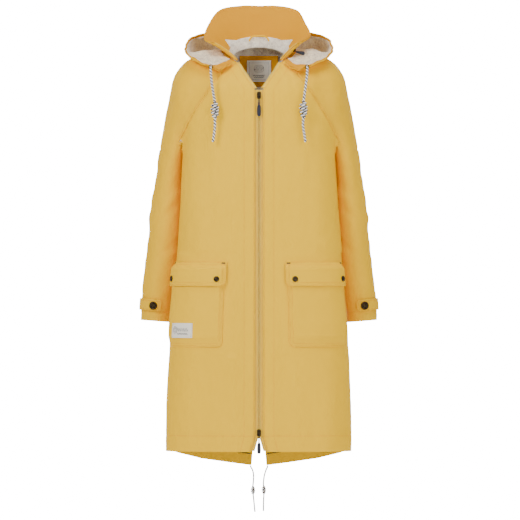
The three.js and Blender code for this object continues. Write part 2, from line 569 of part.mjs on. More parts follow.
for (const [name, z] of [['upper', UPPER_SLIDER_Z], ['lower', LOWER_SLIDER_Z]]) {
  addPiece(`${name}_slider`, sliderGeometry(), BRONZE, atFront(z));
  const ring = turnedRing(PULL_RING, PULL_WIRE, 16, 5).rotateX(Math.PI / 2).translate(0, eyeDepth, -PULL_RING);
  addPiece(`${name}_pull_ring`, ring, BRONZE, atFront(z));
  addPiece(`${name}_pull_grip`, gripGeometry().translate(0, eyeDepth, 0), NAVY, atFront(z));
}

// ---------- pockets and flaps ----------
// every paired piece is made on the +X side and mirrored for the other
function mirrored(geometry) {
  const copy = geometry.index ? geometry.clone() : mergeVertices(geometry);
  copy.scale(-1, 1, 1);
  const index = copy.index.array;
  for (let i = 0; i < index.length; i += 3) [index[i + 1], index[i + 2]] = [index[i + 2], index[i + 1]];
  return copy;
}
const pairedPiece = (side, name, geometry, look) =>
  addPiece(`${side < 0 ? 'left' : 'right'}_${name}`, side < 0 ? mirrored(geometry) : geometry, look);

// the front's angle at a distance along the cloth from a starting x
function angleAlong(startX, distance) {
  const level = levelAt(-640);
  const half = BODY_RINGS[8][2];
  let angle = -Math.acos((startX / half) ** (1 / FRONT_POWER));
  const step = 0.002 * Math.sign(distance || 1);
  let walked = 0;
  for (let last = bodyPoint(angle, level); walked < Math.abs(distance);) {
    const next = bodyPoint(angle + step, level);
    walked += next.distanceTo(last);
    last = next;
    angle += step;
  }
  return angle;
}
const roundedRow = (height, radius) => {
  const h = Math.min(height, radius);
  return radius - Math.sqrt(Math.max(0, radius * radius - (radius - h) ** 2));
};
const onFront = (startX, distance, z) => bodyPoint(angleAlong(startX, distance), levelAt(z));

const LAY = 0.9;               // a patch lies this far off the cloth under it
const EDGE_EASE = 12;
const FLAP_CLEAR = 3.2;
const FLAP_CLOTH = 2.2;
const fullness = (a) => smooth(Math.min(a, POCKET_WIDTH - a) / EDGE_EASE);
const pocketOffset = (a, z) => LAY + POCKET_SLACK * fullness(a) * smooth((z - POCKET_BOTTOM_Z) / 28);
function pocketSheet(startX) {
  const height = (v) => POCKET_BOTTOM_Z + (POCKET_TOP_Z - POCKET_BOTTOM_Z) * v ** 1.5;
  const across = (u, v) => {
    const inset = roundedRow(height(v) - POCKET_BOTTOM_Z, POCKET_CORNER);
    return mix(inset, POCKET_WIDTH - inset, u);
  };
  const offset = (extra) => (u, v) => pocketOffset(across(u, v), height(v)) + extra;
  return sheet((u, v) => onFront(startX, across(u, v), height(v)), 12, 7, offset(0), offset(POCKET_CLOTH));
}
const flapOffset = (a, z) => mix(LAY, LAY + POCKET_SLACK * fullness(a + 4 * Math.sign(POCKET_WIDTH / 2 - a))
  + POCKET_CLOTH + FLAP_CLEAR, smooth((FLAP_TOP_Z - z) / 22));
function flapSheet(startX) {
  const height = (v) => FLAP_TOP_Z - FLAP_HEIGHT * (1 - v ** 1.4);
  const across = (u, v) => {
    const inset = roundedRow(FLAP_HEIGHT - (FLAP_TOP_Z - height(v)), POCKET_CORNER);
    return mix(inset - FLAP_OVERHANG, POCKET_WIDTH + FLAP_OVERHANG - inset, u);
  };
  const offset = (extra) => (u, v) => flapOffset(across(u, v), height(v)) + extra;
  return sheet((u, v) => onFront(startX, across(u, v), height(v)), 12, 6, offset(0), offset(FLAP_CLOTH));
}
function discGeometry(radius, height, dome) {
  const profile = [[0, 0], [radius, 0], [radius, height * 0.55], [radius * 0.82, height], [0, height + dome]];
  return new THREE.LatheGeometry(profile.map(([x, y]) => new THREE.Vector2(x, y)), 14);
}
// a disc whose base stands on a surface point, facing along the normal
function discOn(point, normal, offset, geometry) {
  const turn = new THREE.Quaternion().setFromUnitVectors(V(0, 1, 0), normal);
  const at = point.clone().addScaledVector(normal, offset);
  return geometry.applyMatrix4(new THREE.Matrix4().compose(at, turn, V(1, 1, 1)));
}
function frontNormal(startX, a, z) {
  const du = onFront(startX, a + 2, z).sub(onFront(startX, a - 2, z));
  const dv = onFront(startX, a, z + 2).sub(onFront(startX, a, z - 2));
  return du.cross(dv).normalize();
}
const POCKET_START = { [-1]: 86, [1]: 71 };
const SNAP_INSET = 17, SNAP_Z = -605, STUD_RADIUS = 4;
for (const side of [-1, 1]) {
  const start = POCKET_START[side];
  pairedPiece(side, 'pocket', pocketSheet(start), YELLOW);
  pairedPiece(side, 'pocket_flap', flapSheet(start), YELLOW);
  for (const [place, a] of [['inner', SNAP_INSET], ['outer', POCKET_WIDTH - SNAP_INSET]]) {
    const point = onFront(start, a, SNAP_Z), normal = frontNormal(start, a, SNAP_Z);
    const studBase = pocketOffset(a, SNAP_Z) + POCKET_CLOTH + 0.3;
    const capBase = flapOffset(a, SNAP_Z) + FLAP_CLOTH + 0.3;
    const stud = discGeometry(STUD_RADIUS, FLAP_CLEAR - 0.7, 0);
    pairedPiece(side, `${place}_flap_snap_stud`, discOn(point, normal, studBase, stud), BRONZE);
    const cap = discGeometry(SNAP_RADIUS, SNAP_CAP, 0.4);
    pairedPiece(side, `${place}_flap_snap_cap`, discOn(point, normal, capBase, cap), BRONZE);
  }
}
const LABEL = { from: POCKET_WIDTH - 88, to: POCKET_WIDTH - 31, top: -709, bottom: -744 };
const labelAt = (u, v) => [mix(LABEL.from, LABEL.to, u), mix(LABEL.bottom, LABEL.top, v)];
const labelLift = (extra) => (u, v) => pocketOffset(...labelAt(u, v)) + POCKET_CLOTH + extra;
addPiece('left_pocket_label', mirrored(sheet(
  (u, v) => onFront(POCKET_START[-1], ...labelAt(u, v)), 6, 3, labelLift(1.2), labelLift(2))), CREAM);

// ---------- cuff tabs ----------
const TAB_FROM = 30 * degrees, TAB_TO = -104 * degrees, BUTTON_ANGLE = -79 * degrees;
const cuffLevel = (z) => 10 + (SLEEVE_RINGS[10][1] - z) / (SLEEVE_RINGS[10][1] - SLEEVE_RINGS[11][1]);
const TAB_CLEAR = 2.8;
const tabLift = (u) => mix(LAY, TAB_CLEAR, smooth(u / 0.35));
const tabMiddle = TAB_TOP_Z - TAB_HEIGHT / 2;
function tabPoint(u, v) {
  const corner = roundedRow((1 - u) * 100, 9);
  const half = TAB_HEIGHT / 2 - corner;
  return sleevePoint(1, mix(TAB_FROM, TAB_TO, u), cuffLevel(mix(tabMiddle - half, tabMiddle + half, v)));
}
function sleeveNormal(angle, level) {
  const du = sleevePoint(1, angle - 0.05, level).sub(sleevePoint(1, angle + 0.05, level));
  const dv = sleevePoint(1, angle, level - 0.05).sub(sleevePoint(1, angle, level + 0.05));
  return dv.cross(du).normalize();
}
for (const side of [-1, 1]) {
  const tab = sheet(tabPoint, 14, 3, (u) => -tabLift(u) - TAB_CLOTH, (u) => -tabLift(u));
  pairedPiece(side, 'cuff_tab', tab, SLEEVE_YELLOW);
  const level = cuffLevel(tabMiddle);
  const point = sleevePoint(1, BUTTON_ANGLE, level), normal = sleeveNormal(BUTTON_ANGLE, level);
  const stud = discGeometry(STUD_RADIUS + 0.5, TAB_CLEAR - 1.2, 0);
  pairedPiece(side, 'cuff_stud', discOn(point, normal, 0.4, stud), BRONZE);
  const cap = discGeometry(BUTTON_RADIUS, SNAP_CAP + 0.6, 0.6);
  pairedPiece(side, 'cuff_button', discOn(point, normal, TAB_CLEAR + TAB_CLOTH + 0.3, cap), BRONZE);
}

// ---------- drawcords ----------
const knotRing = (bore, outer, length) => {
  const h = length / 2;
  const profile = [[bore, -h], [outer * 0.72, -h], [outer, -h * 0.4], [outer, h * 0.4], [outer * 0.72, h],
    [bore, h], [bore, -h]];
  return new THREE.LatheGeometry(profile.map(([x, y]) => new THREE.Vector2(x, y)), 12).rotateX(Math.PI / 2);
};
const fromTail = ([x, y, drop]) => [x, y, TAIL_Z + drop];
const CORDS = {
  left_hood: [HOOD_CORD, 17.5, 34, [-108, -131, -187], [[-118, -105, -80], [-118.3, -110.5, -81.5],
    [-118.3, -116, -86], [-118, -121, -95], [-117, -125, -108], [-115, -128, -125], [-112, -130, -145],
    [-109, -131, -162], [-108, -131, -174], [-108, -131, -187], [-108, -131, -200], [-108, -131, -210],
    [-108, -131, -226], [-110, -131, -246], [-113, -131, -265]]],
  right_hood: [HOOD_CORD, 17.5, 34, [109, -131, -185], [[118, -105, -80], [118.3, -110.5, -81.5],
    [118.3, -116, -86], [118, -121, -95], [117, -125, -108], [115, -128, -125], [112, -130, -145],
    [110, -131, -160], [109, -131, -172], [109, -131, -185], [109, -131, -198], [108.5, -131, -209],
    [108, -131, -226], [111, -131, -246], [114, -131, -265]]],
  left_hem: [HEM_CORD, 11, 24, [-15, 150, TAIL_Z - 62], [[-21, 148.5, -0.4], [-20, 148.8, -5], [-16, 149.5, -12],
    [-13.5, 150, -24], [-14, 150, -39], [-15, 150, -51], [-15, 150, -62], [-14.5, 150, -73], [-13, 150, -86],
    [-11.5, 150, -101], [-10, 150, -116]].map(fromTail)],
  right_hem: [HEM_CORD, 11, 24, [12, 150, TAIL_Z - 61], [[21, 148.5, -0.4], [20.5, 148.8, -5], [17, 149.5, -13],
    [13, 150, -27], [11, 150, -44], [11.5, 150, -53], [12, 150, -61], [12, 150, -72], [11.5, 150, -86],
    [11, 150, -100], [11, 150, -114]].map(fromTail)],
};
for (const [name, [diameter, width, length, knot, points]] of Object.entries(CORDS)) {
  const sides = diameter > 4 ? 10 : 8;
  addPiece(`${name}_cord`, tube(points.map((p) => V(...p)), diameter, sides, 15), CORD_WHITE);
  const ring = knotRing(diameter / 2 + 1.1, width / 2, length).translate(...knot);
  addPiece(`${name}_cord_knot`, ring, CORD_WHITE);
}

export default group;
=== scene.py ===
import json
import math
import bmesh
import bpy
import numpy as np
from mathutils import Matrix, Vector, noise
from mathutils.bvhtree import BVHTree

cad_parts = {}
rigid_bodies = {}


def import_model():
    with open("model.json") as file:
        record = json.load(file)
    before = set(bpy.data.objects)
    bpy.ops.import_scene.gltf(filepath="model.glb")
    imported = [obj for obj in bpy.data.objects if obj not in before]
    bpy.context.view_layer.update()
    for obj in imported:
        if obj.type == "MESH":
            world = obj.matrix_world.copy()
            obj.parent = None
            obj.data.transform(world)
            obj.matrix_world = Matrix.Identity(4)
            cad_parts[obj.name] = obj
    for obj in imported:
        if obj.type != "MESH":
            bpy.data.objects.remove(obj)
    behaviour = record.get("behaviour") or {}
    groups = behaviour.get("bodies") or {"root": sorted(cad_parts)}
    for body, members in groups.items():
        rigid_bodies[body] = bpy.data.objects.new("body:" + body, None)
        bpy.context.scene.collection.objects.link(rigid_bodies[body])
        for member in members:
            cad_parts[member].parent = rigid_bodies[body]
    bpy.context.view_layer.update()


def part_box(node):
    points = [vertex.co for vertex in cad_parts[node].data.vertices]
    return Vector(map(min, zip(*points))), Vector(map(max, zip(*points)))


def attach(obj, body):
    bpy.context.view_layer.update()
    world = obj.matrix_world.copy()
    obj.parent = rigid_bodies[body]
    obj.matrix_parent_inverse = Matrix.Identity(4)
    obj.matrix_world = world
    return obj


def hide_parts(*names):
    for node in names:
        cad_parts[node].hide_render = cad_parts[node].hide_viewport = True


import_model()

MM = 0.001
COAT = "coat"

# The coat is drafted in millimetres about its own upright axis. The hang loop, the frame's origin,
# lies LOOP_Y behind that axis. +X is the viewer's right, -Y the front.
LOOP_Y = 62.0


def place(points):
    """Drafting millimetres to frame metres."""
    points = np.asarray(points, dtype=float)
    return (points - np.array([0.0, LOOP_Y, 0.0])) * MM


def smooth(t):
    t = np.clip(t, 0.0, 1.0)
    return t * t * (3 - 2 * t)


def mix(a, b, t):
    return a + (b - a) * t


# ---------------------------------------------------------------- camera
LENS, SENSOR, CAMERA_AT = 564, 36, (0.0025, -20.15, -0.554)


def make_camera():
    """A long lens far off, level with the middle of the coat."""
    cam = bpy.data.cameras.new("camera")
    cam.lens = LENS
    cam.sensor_width = SENSOR
    obj = bpy.data.objects.new("camera", cam)
    bpy.context.collection.objects.link(obj)
    obj.location = CAMERA_AT
    obj.rotation_euler = (math.radians(90), 0, 0)
    bpy.context.scene.camera = obj


make_camera()


# ---------------------------------------------------------------- meshes
def new_piece(name, verts, faces, material, node=None, body=COAT, slot=None, smooth_shade=True):
    mesh = bpy.data.meshes.new(name)
    mesh.from_pydata([tuple(v) for v in verts], [], [tuple(f) for f in faces])
    mesh.update()
    obj = bpy.data.objects.new(name, mesh)
    bpy.context.collection.objects.link(obj)
    mesh.materials.append(material)
    if smooth_shade:
        mesh.polygons.foreach_set("use_smooth", [True] * len(mesh.polygons))
    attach(obj, body)
    if node:
        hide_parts(*([node] if isinstance(node, str) else node))
    return obj


def grid_faces(rows, cols, closed=False):
    faces = []
    across = cols if closed else cols - 1
    for i in range(rows - 1):
        for j in range(across):
            k = (j + 1) % cols
            faces.append((i * cols + j, i * cols + k, (i + 1) * cols + k, (i + 1) * cols + j))
    return faces


def grid_normals(grid, closed=False):
    """Unit normals of a (rows, cols, 3) grid."""
    down = np.gradient(grid, axis=0)
    if closed:
        wide = np.concatenate([grid[:, -1:], grid, grid[:, :1]], axis=1)
        side = np.gradient(wide, axis=1)[:, 1:-1]
    else:
        side = np.gradient(grid, axis=1)
    normal = np.cross(side, down)
    return normal / np.maximum(np.linalg.norm(normal, axis=2, keepdims=True), 1e-9)


def outward(grid, normal, centre):
    """Turn a grid's normals away from a centre point or line."""
    away = grid - centre
    return normal * (1 if np.sum(away * normal) > 0 else -1)


def face_outwards(obj):
    bm = bmesh.new()
    bm.from_mesh(obj.data)
    bmesh.ops.recalc_face_normals(bm, faces=bm.faces)
    bm.to_mesh(obj.data)
    bm.free()


# ---------------------------------------------------------------- the coat's draft
# front level, back level, half width, front depth, back depth
ZIP_TOP_Z, ZIP_TOP_Y, FRONT_SLOPE = -135.0, -121.0, 0.032


def front_edge_y(z):
    return ZIP_TOP_Y + FRONT_SLOPE * (z - ZIP_TOP_Z)


def body_ring_table():
    upper = [(-70, -10, 76, -74.5, 74.5, 0), (-88, -24, 122, -92, 98, -10), (-108, -56, 158, -108, 112, -20),
             (-135, -105, 181, -121, 120, -20), (-195, -180, 187, None, 122, -20)]
    lower = [(-280, 187, 120), (-370, 191, 117), (-455, 196, 117), (-550, 203, 122), (-705, 217, 134),
             (-845, 223, 144), (-960, 228, 150), (-1090, 228, 152)]
    rows = upper + [(z, z, half, None, back, -20) for z, half, back in lower]
    table = np.array([[np.nan if value is None else value for value in row] for row in rows], float)
    table[:, 3] = np.where(np.isnan(table[:, 3]), front_edge_y(table[:, 0]), table[:, 3])
    return table


BODY_RINGS = body_ring_table()
# outer edge (x, z), inner edge (x, z), middle depth, half depth
SLEEVE_RINGS = np.array([
    (60, -56, 90, -200, 0, 80), (120, -45, 125, -228, 6, 96), (174, -59, 148, -250, 14, 100),
    (208, -98, 165, -262, 22, 96), (220, -146, 173, -272, 28, 88), (232, -205, 179, -290, 33, 80),
    (246, -280, 183, -325, 38, 73), (256, -356, 186, -385, 42, 68), (267, -431, 188, -452, 46, 64),
    (275, -515, 191, -527, 50, 60), (285, -600, 201, -607, 53, 56), (291, -668, 213, -674, 55, 52),
    (292, -702, 217, -708, 56, 50)], float)
UNDERARM_Z = -262.0
SIDE_SEAM_Y = 10.0


def between_rings(table, level):
    """Smooth values between a table's rows, at real-valued levels."""
    level = np.clip(np.asarray(level, float), 0, len(table) - 1)
    i = np.minimum(level.astype(int), len(table) - 2)
    t = (level - i)[..., None]
    rows = [table[np.clip(i + k, 0, len(table) - 1)] for k in (-1, 0, 1, 2)]
    a, b, c, d = rows
    m0, m1 = (c - a) * 0.5, (d - b) * 0.5
    return ((2 * t ** 3 - 3 * t ** 2 + 1) * b + (t ** 3 - 2 * t ** 2 + t) * m0
            + (-2 * t ** 3 + 3 * t ** 2) * c + (t ** 3 - t ** 2) * m1)


def body_point(angle, level, inset=0.0):
    """On the body: angle 0 is +X, a quarter turn the back."""
    ring = between_rings(BODY_RINGS, level)
    z_front, z_back, half, y_front, y_back, centre = np.moveaxis(ring, -1, 0)
    c, s = np.cos(angle), np.sin(angle)
    power = np.where(s < 0, 2 / 2.6, 1.0)
    depth = np.where(s < 0, centre - y_front, y_back - centre) - inset
    x = np.sign(c) * np.abs(c) ** power * (half - inset)
    y = centre + np.sign(s) * np.abs(s) ** power * depth
    sink = inset * np.interp(level, [0, 1, 2, 3, 4, 5], [1, 0.9, 0.7, 0.35, 0.1, 0])
    z = mix(z_front, z_back, (y - y_front) / (y_back - y_front)) - sink
    return np.stack([x, y, z], axis=-1)


def sleeve_point(side, angle, level, inset=0.0):
    """On a sleeve: angle 0 is the outer edge, a quarter turn the back."""
    xo, zo, xi, zi, y, depth = np.moveaxis(between_rings(SLEEVE_RINGS, level), -1, 0)
    hx, hz = (xo - xi) / 2, (zo - zi) / 2
    shrink = 1 - inset / np.hypot(hx, hz)
    c, s = np.cos(angle), np.sin(angle)
    px = (xo + xi) / 2 + hx * c * shrink
    pz = (zo + zi) / 2 + hz * c * shrink
    return np.stack([px * side, y + (depth - inset) * s, pz], axis=-1)


def closed_tube(grid):
    """Verts and faces of a capped tube made of a (rows, cols, 3) grid of rings."""
    rows, cols = grid.shape[:2]
    verts = list(grid.reshape(-1, 3))
    faces = grid_faces(rows, cols, closed=True)
    for row in (0, rows - 1):
        verts.append(grid[row].mean(axis=0))
        hub = len(verts) - 1
        ring = [row * cols + j for j in range(cols)]
        for k in range(cols):
            pair = (ring[k], ring[(k + 1) % cols])
            faces.append((*pair, hub) if row else (*reversed(pair), hub))
    return verts, faces


def union_surface():
    """The body and both sleeves as one smooth skin, in drafting millimetres."""
    angle = np.linspace(0, 2 * np.pi, 96, endpoint=False)
    verts, faces = closed_tube(body_point(angle[None, :], np.linspace(0, 6, 61)[:, None]))
    for side in (-1, 1):
        more, some = closed_tube(sleeve_point(side, angle[None, :], np.linspace(0, 6, 61)[:, None]))
        faces += [tuple(v + len(verts) for v in f) for f in some]
        verts += more
    mesh = bpy.data.meshes.new("skin")
    mesh.from_pydata([tuple(v * MM) for v in verts], [], faces)
    obj = bpy.data.objects.new("skin", mesh)
    bpy.context.collection.objects.link(obj)
    remesh = obj.modifiers.new("voxels", "REMESH")
    remesh.mode = "VOXEL"
    remesh.voxel_size = 0.005
    relax = obj.modifiers.new("relax", "SMOOTH")
    relax.iterations = 16
    relax.factor = 0.6
    graph = bpy.context.evaluated_depsgraph_get()
    skin = bpy.data.meshes.new_from_object(obj.evaluated_get(graph))
    tree = BVHTree.FromPolygons([v.co / MM for v in skin.vertices],
                                [tuple(p.vertices) for p in skin.polygons])
    bpy.data.objects.remove(obj)
    bpy.data.meshes.remove(mesh)
    bpy.data.meshes.remove(skin)
    return tree


SKIN = union_surface()


class Sheet:
    """A triangulated surface in drafting millimetres: points, unit normals and triangles."""

    def __init__(self, points, normals, tris):
        self.points, self.normals, self.tris = points, normals, tris

    @classmethod
    def from_grid(cls, grid, centre, closed=False):
        normals = outward(grid, grid_normals(grid, closed), centre)
        quads = np.array(grid_faces(*grid.shape[:2], closed))
        tris = np.concatenate([quads[:, [0, 1, 2]], quads[:, [0, 2, 3]]])
        return cls(grid.reshape(-1, 3).copy(), normals.reshape(-1, 3).copy(), tris)

    def keep(self, field):
        """The part where field is positive, cut cleanly along its zero line."""
        value = field(self.points)
        value = np.where(np.abs(value) < 1e-6, 1e-6, value)
        inside = value > 0
        count = inside[self.tris].sum(axis=1)
        whole = self.tris[count == 3]
        mixed = self.tris[(count == 1) | (count == 2)]
        points, normals, made, new = list(self.points), list(self.normals), {}, []

        def crossing(a, b):
            key = (min(a, b), max(a, b))
            if key not in made:
                t = value[a] / (value[a] - value[b])
                points.append(mix(self.points[a], self.points[b], t))
                normals.append(mix(self.normals[a], self.normals[b], t))
                made[key] = len(points) - 1
            return made[key]

        for tri in mixed:
            lone = inside[tri].sum() == 1
            k = next(i for i in range(3) if inside[tri[i]] == lone)
            a, b, c = tri[k], tri[(k + 1) % 3], tri[(k + 2) % 3]
            p, q = crossing(a, b), crossing(a, c)
            new += [(a, p, q)] if lone else [(p, b, c), (p, c, q)]
        tris = np.concatenate([whole, np.array(new, int).reshape(-1, 3)])
        used, index = np.unique(tris, return_inverse=True)
        points, normals = np.array(points)[used], np.array(normals)[used]
        normals /= np.maximum(np.linalg.norm(normals, axis=1, keepdims=True), 1e-9)
        return Sheet(points, normals, index.reshape(-1, 3))

    def with_values(self, *values):
        """The same sheet carrying a number or more at each point."""
        sheet = Sheet(self.points, self.normals, self.tris)
        sheet.values = np.stack(values, axis=1)
        return sheet

    def keep_values(self, column, sign):
        """The part where one of the carried values has a sign, and its values."""
        packed = Sheet(np.hstack([self.points, self.values]), self.normals, self.tris)
        part = packed.keep(lambda p: p[:, 3 + column] * sign)
        sheet = Sheet(part.points[:, :3], part.normals, part.tris)
        return sheet, tuple(part.points[:, 3:].T)

    def shifted(self, amount):
        return Sheet(self.points + self.normals * np.reshape(amount, (-1, 1)), self.normals, self.tris)

    def rough_normals(self):
        """Fresh normals from the triangles, facing the way the old ones did."""
        a, b, c = (self.points[self.tris[:, k]] for k in range(3))
        face = np.cross(b - a, c - a)
        total = np.zeros_like(self.points)
        for k in range(3):
            np.add.at(total, self.tris[:, k], face)
        total *= np.sign(np.sum(total * self.normals, axis=1, keepdims=True))
        total /= np.maximum(np.linalg.norm(total, axis=1, keepdims=True), 1e-9)
        return Sheet(self.points, total, self.tris)

    def thick(self, outer, inner):
        """Verts and faces of a solid between two offsets from the surface."""
        n = len(self.points)
        top = self.points + self.normals * np.reshape(outer, (-1, 1))
        low = self.points + self.normals * np.reshape(inner, (-1, 1))
        a, b, c = (self.points[self.tris[:, k]] for k in range(3))
        forward = np.sum(np.cross(b - a, c - a) * self.normals[self.tris[:, 0]], axis=1) > 0
        tris = np.where(forward[:, None], self.tris, self.tris[:, ::-1])
        edges = np.concatenate([tris[:, [0, 1]], tris[:, [1, 2]], tris[:, [2, 0]]])
        keys = np.sort(edges, axis=1)
        _, first, count = np.unique(keys, axis=0, return_index=True, return_counts=True)
        rim = edges[first[count == 1]]
        faces = [tuple(t) for t in tris] + [tuple(t) for t in tris[:, ::-1] + n]
        faces += [(b, a, a + n, b + n) for a, b in rim]
        return np.concatenate([top, low]), faces


def cloth_piece(name, sheet, outer, inner, material, **how):
    verts, faces = sheet.thick(outer, inner)
    return new_piece(name, place(verts), faces, material, **how)


def onto_skin(sheet, reach=26.0, top_z=-300.0):
    """Push a sheet out to the common skin where body and sleeves run together."""
    for k in np.nonzero(sheet.points[:, 2] > top_z)[0]:
        p, n = Vector(sheet.points[k]), Vector(sheet.normals[k])
        hit, _, _, distance = SKIN.ray_cast(p - n * 8, n, 8 + reach)
        if hit is not None:
            weight = float(smooth((p.z - top_z) / 30))
            sheet.points[k] = p + n * ((distance - 8) * weight)
    return sheet.rough_normals()


# ---------------------------------------------------------------- seams and drape
FRONT_HEM_Z, VENT_TOP_Z, SPREAD_Z = -1024.0, -823.0, -987.0
PLACKET_HALF, FRONT_SPREAD, VENT_HALF = 10.5, 21.0, 19.5
HEM_DEPTH, FACING_WIDTH, CUFF_STITCH_Z, SLEEVE_END_Z = 39.0, 26.0, -684.0, -710.0
NECK_HALF, NECK_DEPTH, V_HALF, V_TOP_Z = 76.0, 74.5, 59.0, -62.0
TAIL_LINE = np.array([(19.5, -1064), (78, -1056), (143, -1046), (196, -1032), (232, -1019)], float)


def past_raglan(p, grow=0.0):
    """How far a point is beyond its side's raglan seam, positive towards the sleeve."""
    x, y, z = np.abs(p[:, 0]), p[:, 1], p[:, 2]
    low = 190.5 - 0.25 * (y + 20)
    return x - (8 + (low - 8) * (30 - z) / (30 - UNDERARM_Z)) - grow


def opening_half(z):
    """Half the width between the fronts at a height."""
    return np.interp(z, [FRONT_HEM_Z, SPREAD_Z, ZIP_TOP_Z, V_TOP_Z],
                     [FRONT_SPREAD, PLACKET_HALF, PLACKET_HALF, V_HALF])


def outside_neck(p, inset=0.0):
    return (np.hypot(p[:, 0] / (NECK_HALF - inset), p[:, 1] / (NECK_DEPTH - inset)) - 0.998) * 75


def front_field(side, edge=0.0, hem=0.0):
    def field(p):
        x = p[:, 0] * side
        return np.minimum.reduce([
            outside_neck(p, edge * 0.4),
            np.maximum(-past_raglan(p, -0.3), UNDERARM_Z - 6 - p[:, 2]),
            SIDE_SEAM_Y - 0.3 - p[:, 1],
            x - opening_half(p[:, 2]) - edge,
            p[:, 2] - FRONT_HEM_Z - hem])
    return field


def tail_z(x):
    return np.interp(np.abs(x), TAIL_LINE[:, 0], TAIL_LINE[:, 1])


def vent_half(z):
    return np.interp(z, [-1100, VENT_TOP_Z], [VENT_HALF + 2, 0.3])


def back_field(hem=0.0, vent=0.0):
    def field(p):
        x = np.abs(p[:, 0])
        return np.minimum.reduce([
            outside_neck(p, vent * 0.3),
            np.maximum(-past_raglan(p, -0.3), UNDERARM_Z - 6 - p[:, 2]),
            p[:, 1] - SIDE_SEAM_Y - 0.3,
            np.maximum(x - vent_half(p[:, 2]) - vent, p[:, 2] - VENT_TOP_Z - vent),
            p[:, 2] - tail_z(p[:, 0]) - hem])
    return field


def sleeve_field(cuff=0.0):
    def field(p):
        arm = np.maximum(past_raglan(p, 0.3), UNDERARM_Z - 4 - p[:, 2])
        return np.minimum.reduce([arm, p[:, 2] - SLEEVE_END_Z - cuff, np.abs(p[:, 0]) - SHOULDER_X])
    return field


SHOULDER_X = 92.0


def shoulder_field(side, cuff=0.0):
    """The part of a raglan sleeve on the shoulder, cut from the body's own surface."""
    def field(p):
        x = p[:, 0] * side
        return np.minimum.reduce([past_raglan(p, 0.3), x, SHOULDER_X + 0.5 - x, outside_neck(p, cuff * 0.2)])
    return field


def noise_values(points, scale, seed):
    offset = Vector((seed * 13.7, seed * 5.1, seed * 9.3))
    return np.array([noise.noise(Vector(p) + offset) for p in points * np.array(scale)])


def calm(points):
    """1 where the cloth may fold, 0 under the pockets, the zip and the tabs."""
    x, y, z = points.T
    ax = np.abs(x)
    pocket = smooth((18 - np.maximum.reduce([62 - ax, z + 545, -780 - z])) / 18) * (y < 20)
    zip_near = smooth((34 - ax) / 20) * (y < -60)
    tab = smooth((14 - np.maximum(z + 640, -690 - z)) / 14) * (ax > 235)
    return 1 - np.maximum.reduce([pocket, zip_near, tab])


def body_folds(points):
    """Long soft folds that fan towards the hem, and finer pulls below the raglan seams."""
    x, y, z = points.T
    angle = np.arctan2(y + 20, x) * 190
    flat = np.stack([angle, np.zeros_like(angle), z], axis=1)
    fall = smooth((-300 - z) / 500)
    long = noise_values(flat, (0.016, 1, 0.0016), 1) * (1.2 + 5.0 * fall)
    side = noise_values(flat, (0.028, 1, 0.006), 2) * 2.0
    slant = np.stack([angle * 0.7 + np.abs(z) * 0.5 * np.sign(x), np.zeros_like(angle), z], axis=1)
    pull = noise_values(slant, (0.03, 1, 0.004), 3) * 1.4 * smooth((z + 520) / 250)
    small = noise_values(points, (0.05, 0.05, 0.035), 4) * 0.7
    hem = np.exp(-((z - FRONT_HEM_Z - HEM_DEPTH) / 26) ** 2)
    pucker = noise_values(flat, (0.075, 1, 0.02), 8) * 1.5 * hem
    return (long + side + pull) * calm(points) + small + pucker


def sleeve_folds(points):
    """Creases round the bend of the elbow and down from the shoulder."""
    x, y, z = points.T
    bend = np.exp(-((z + 430) / 130) ** 2)
    across = np.stack([np.abs(x) * 0.6 + y * 0.5, y, z + np.abs(x) * 0.9], axis=1)
    crease = noise_values(across, (0.012, 0.012, 0.034), 5) * 4.2 * bend
    fall = np.stack([x, y, z * 0.3], axis=1)
    long = noise_values(fall, (0.022, 0.022, 0.012), 6) * 3.2 * smooth((-150 - z) / 200)
    small = noise_values(points, (0.05, 0.05, 0.05), 7) * 0.7
    return (crease + long) * calm(points) + small


def arm_folds(points):
    """A sleeve's folds, running into the body's over the shoulder."""
    over = smooth((np.abs(points[:, 0]) - 70) / 60)
    return mix(body_folds(points), sleeve_folds(points), over)


def seam_relief(distance, width=1.6, depth=0.8, puff=0.9, reach=9.0):
    """Cloth rolls up beside a seam and dips into it."""
    d = np.abs(distance)
    return puff * np.exp(-((d - reach * 0.5) / (reach * 0.45)) ** 2) - depth * np.exp(-(d / width) ** 2)


def sewn(lines):
    """Relief of rows of stitching: each line is a distance field and a depth."""
    return sum(-depth * np.exp(-(np.abs(d) / 1.8) ** 2) for d, depth in lines)


BODY_ROUND, BODY_LENGTH, SLEEVE_ROUND, SLEEVE_LENGTH = 1120, 1110, 420, 760


def body_sheet(spacing, inset=0.0):
    columns = int(BODY_ROUND / spacing)
    angle = np.linspace(0, 2 * np.pi, columns, endpoint=False)
    level = level_for_rows(int(BODY_LENGTH / spacing))
    grid = body_point(angle[None, :], level[:, None], inset)
    axis = np.array([0.0, -10.0, 0.0]) + grid.mean(axis=1, keepdims=True) * [0, 0, 1]
    return Sheet.from_grid(grid, axis, closed=True)


def level_for_rows(count):
    """Ring levels that space rows evenly along the front and back."""
    fine = np.linspace(0, 12, 1201)
    quarter = np.full_like(fine, math.pi / 2)
    line = body_point(-quarter, fine) + body_point(quarter, fine)
    walked = np.concatenate([[0], np.cumsum(np.linalg.norm(np.diff(line, axis=0), axis=1))])
    return np.interp(np.linspace(0, walked[-1], count), walked, fine)


def sleeve_sheet(side, spacing, inset=0.0):
    angle = np.linspace(0, 2 * np.pi, int(SLEEVE_ROUND / spacing), endpoint=False)
    level = np.linspace(0, 12, int(SLEEVE_LENGTH / spacing))
    grid = sleeve_point(side, angle[None, :], level[:, None], inset)
    return Sheet.from_grid(grid, grid.mean(axis=1, keepdims=True), closed=True)


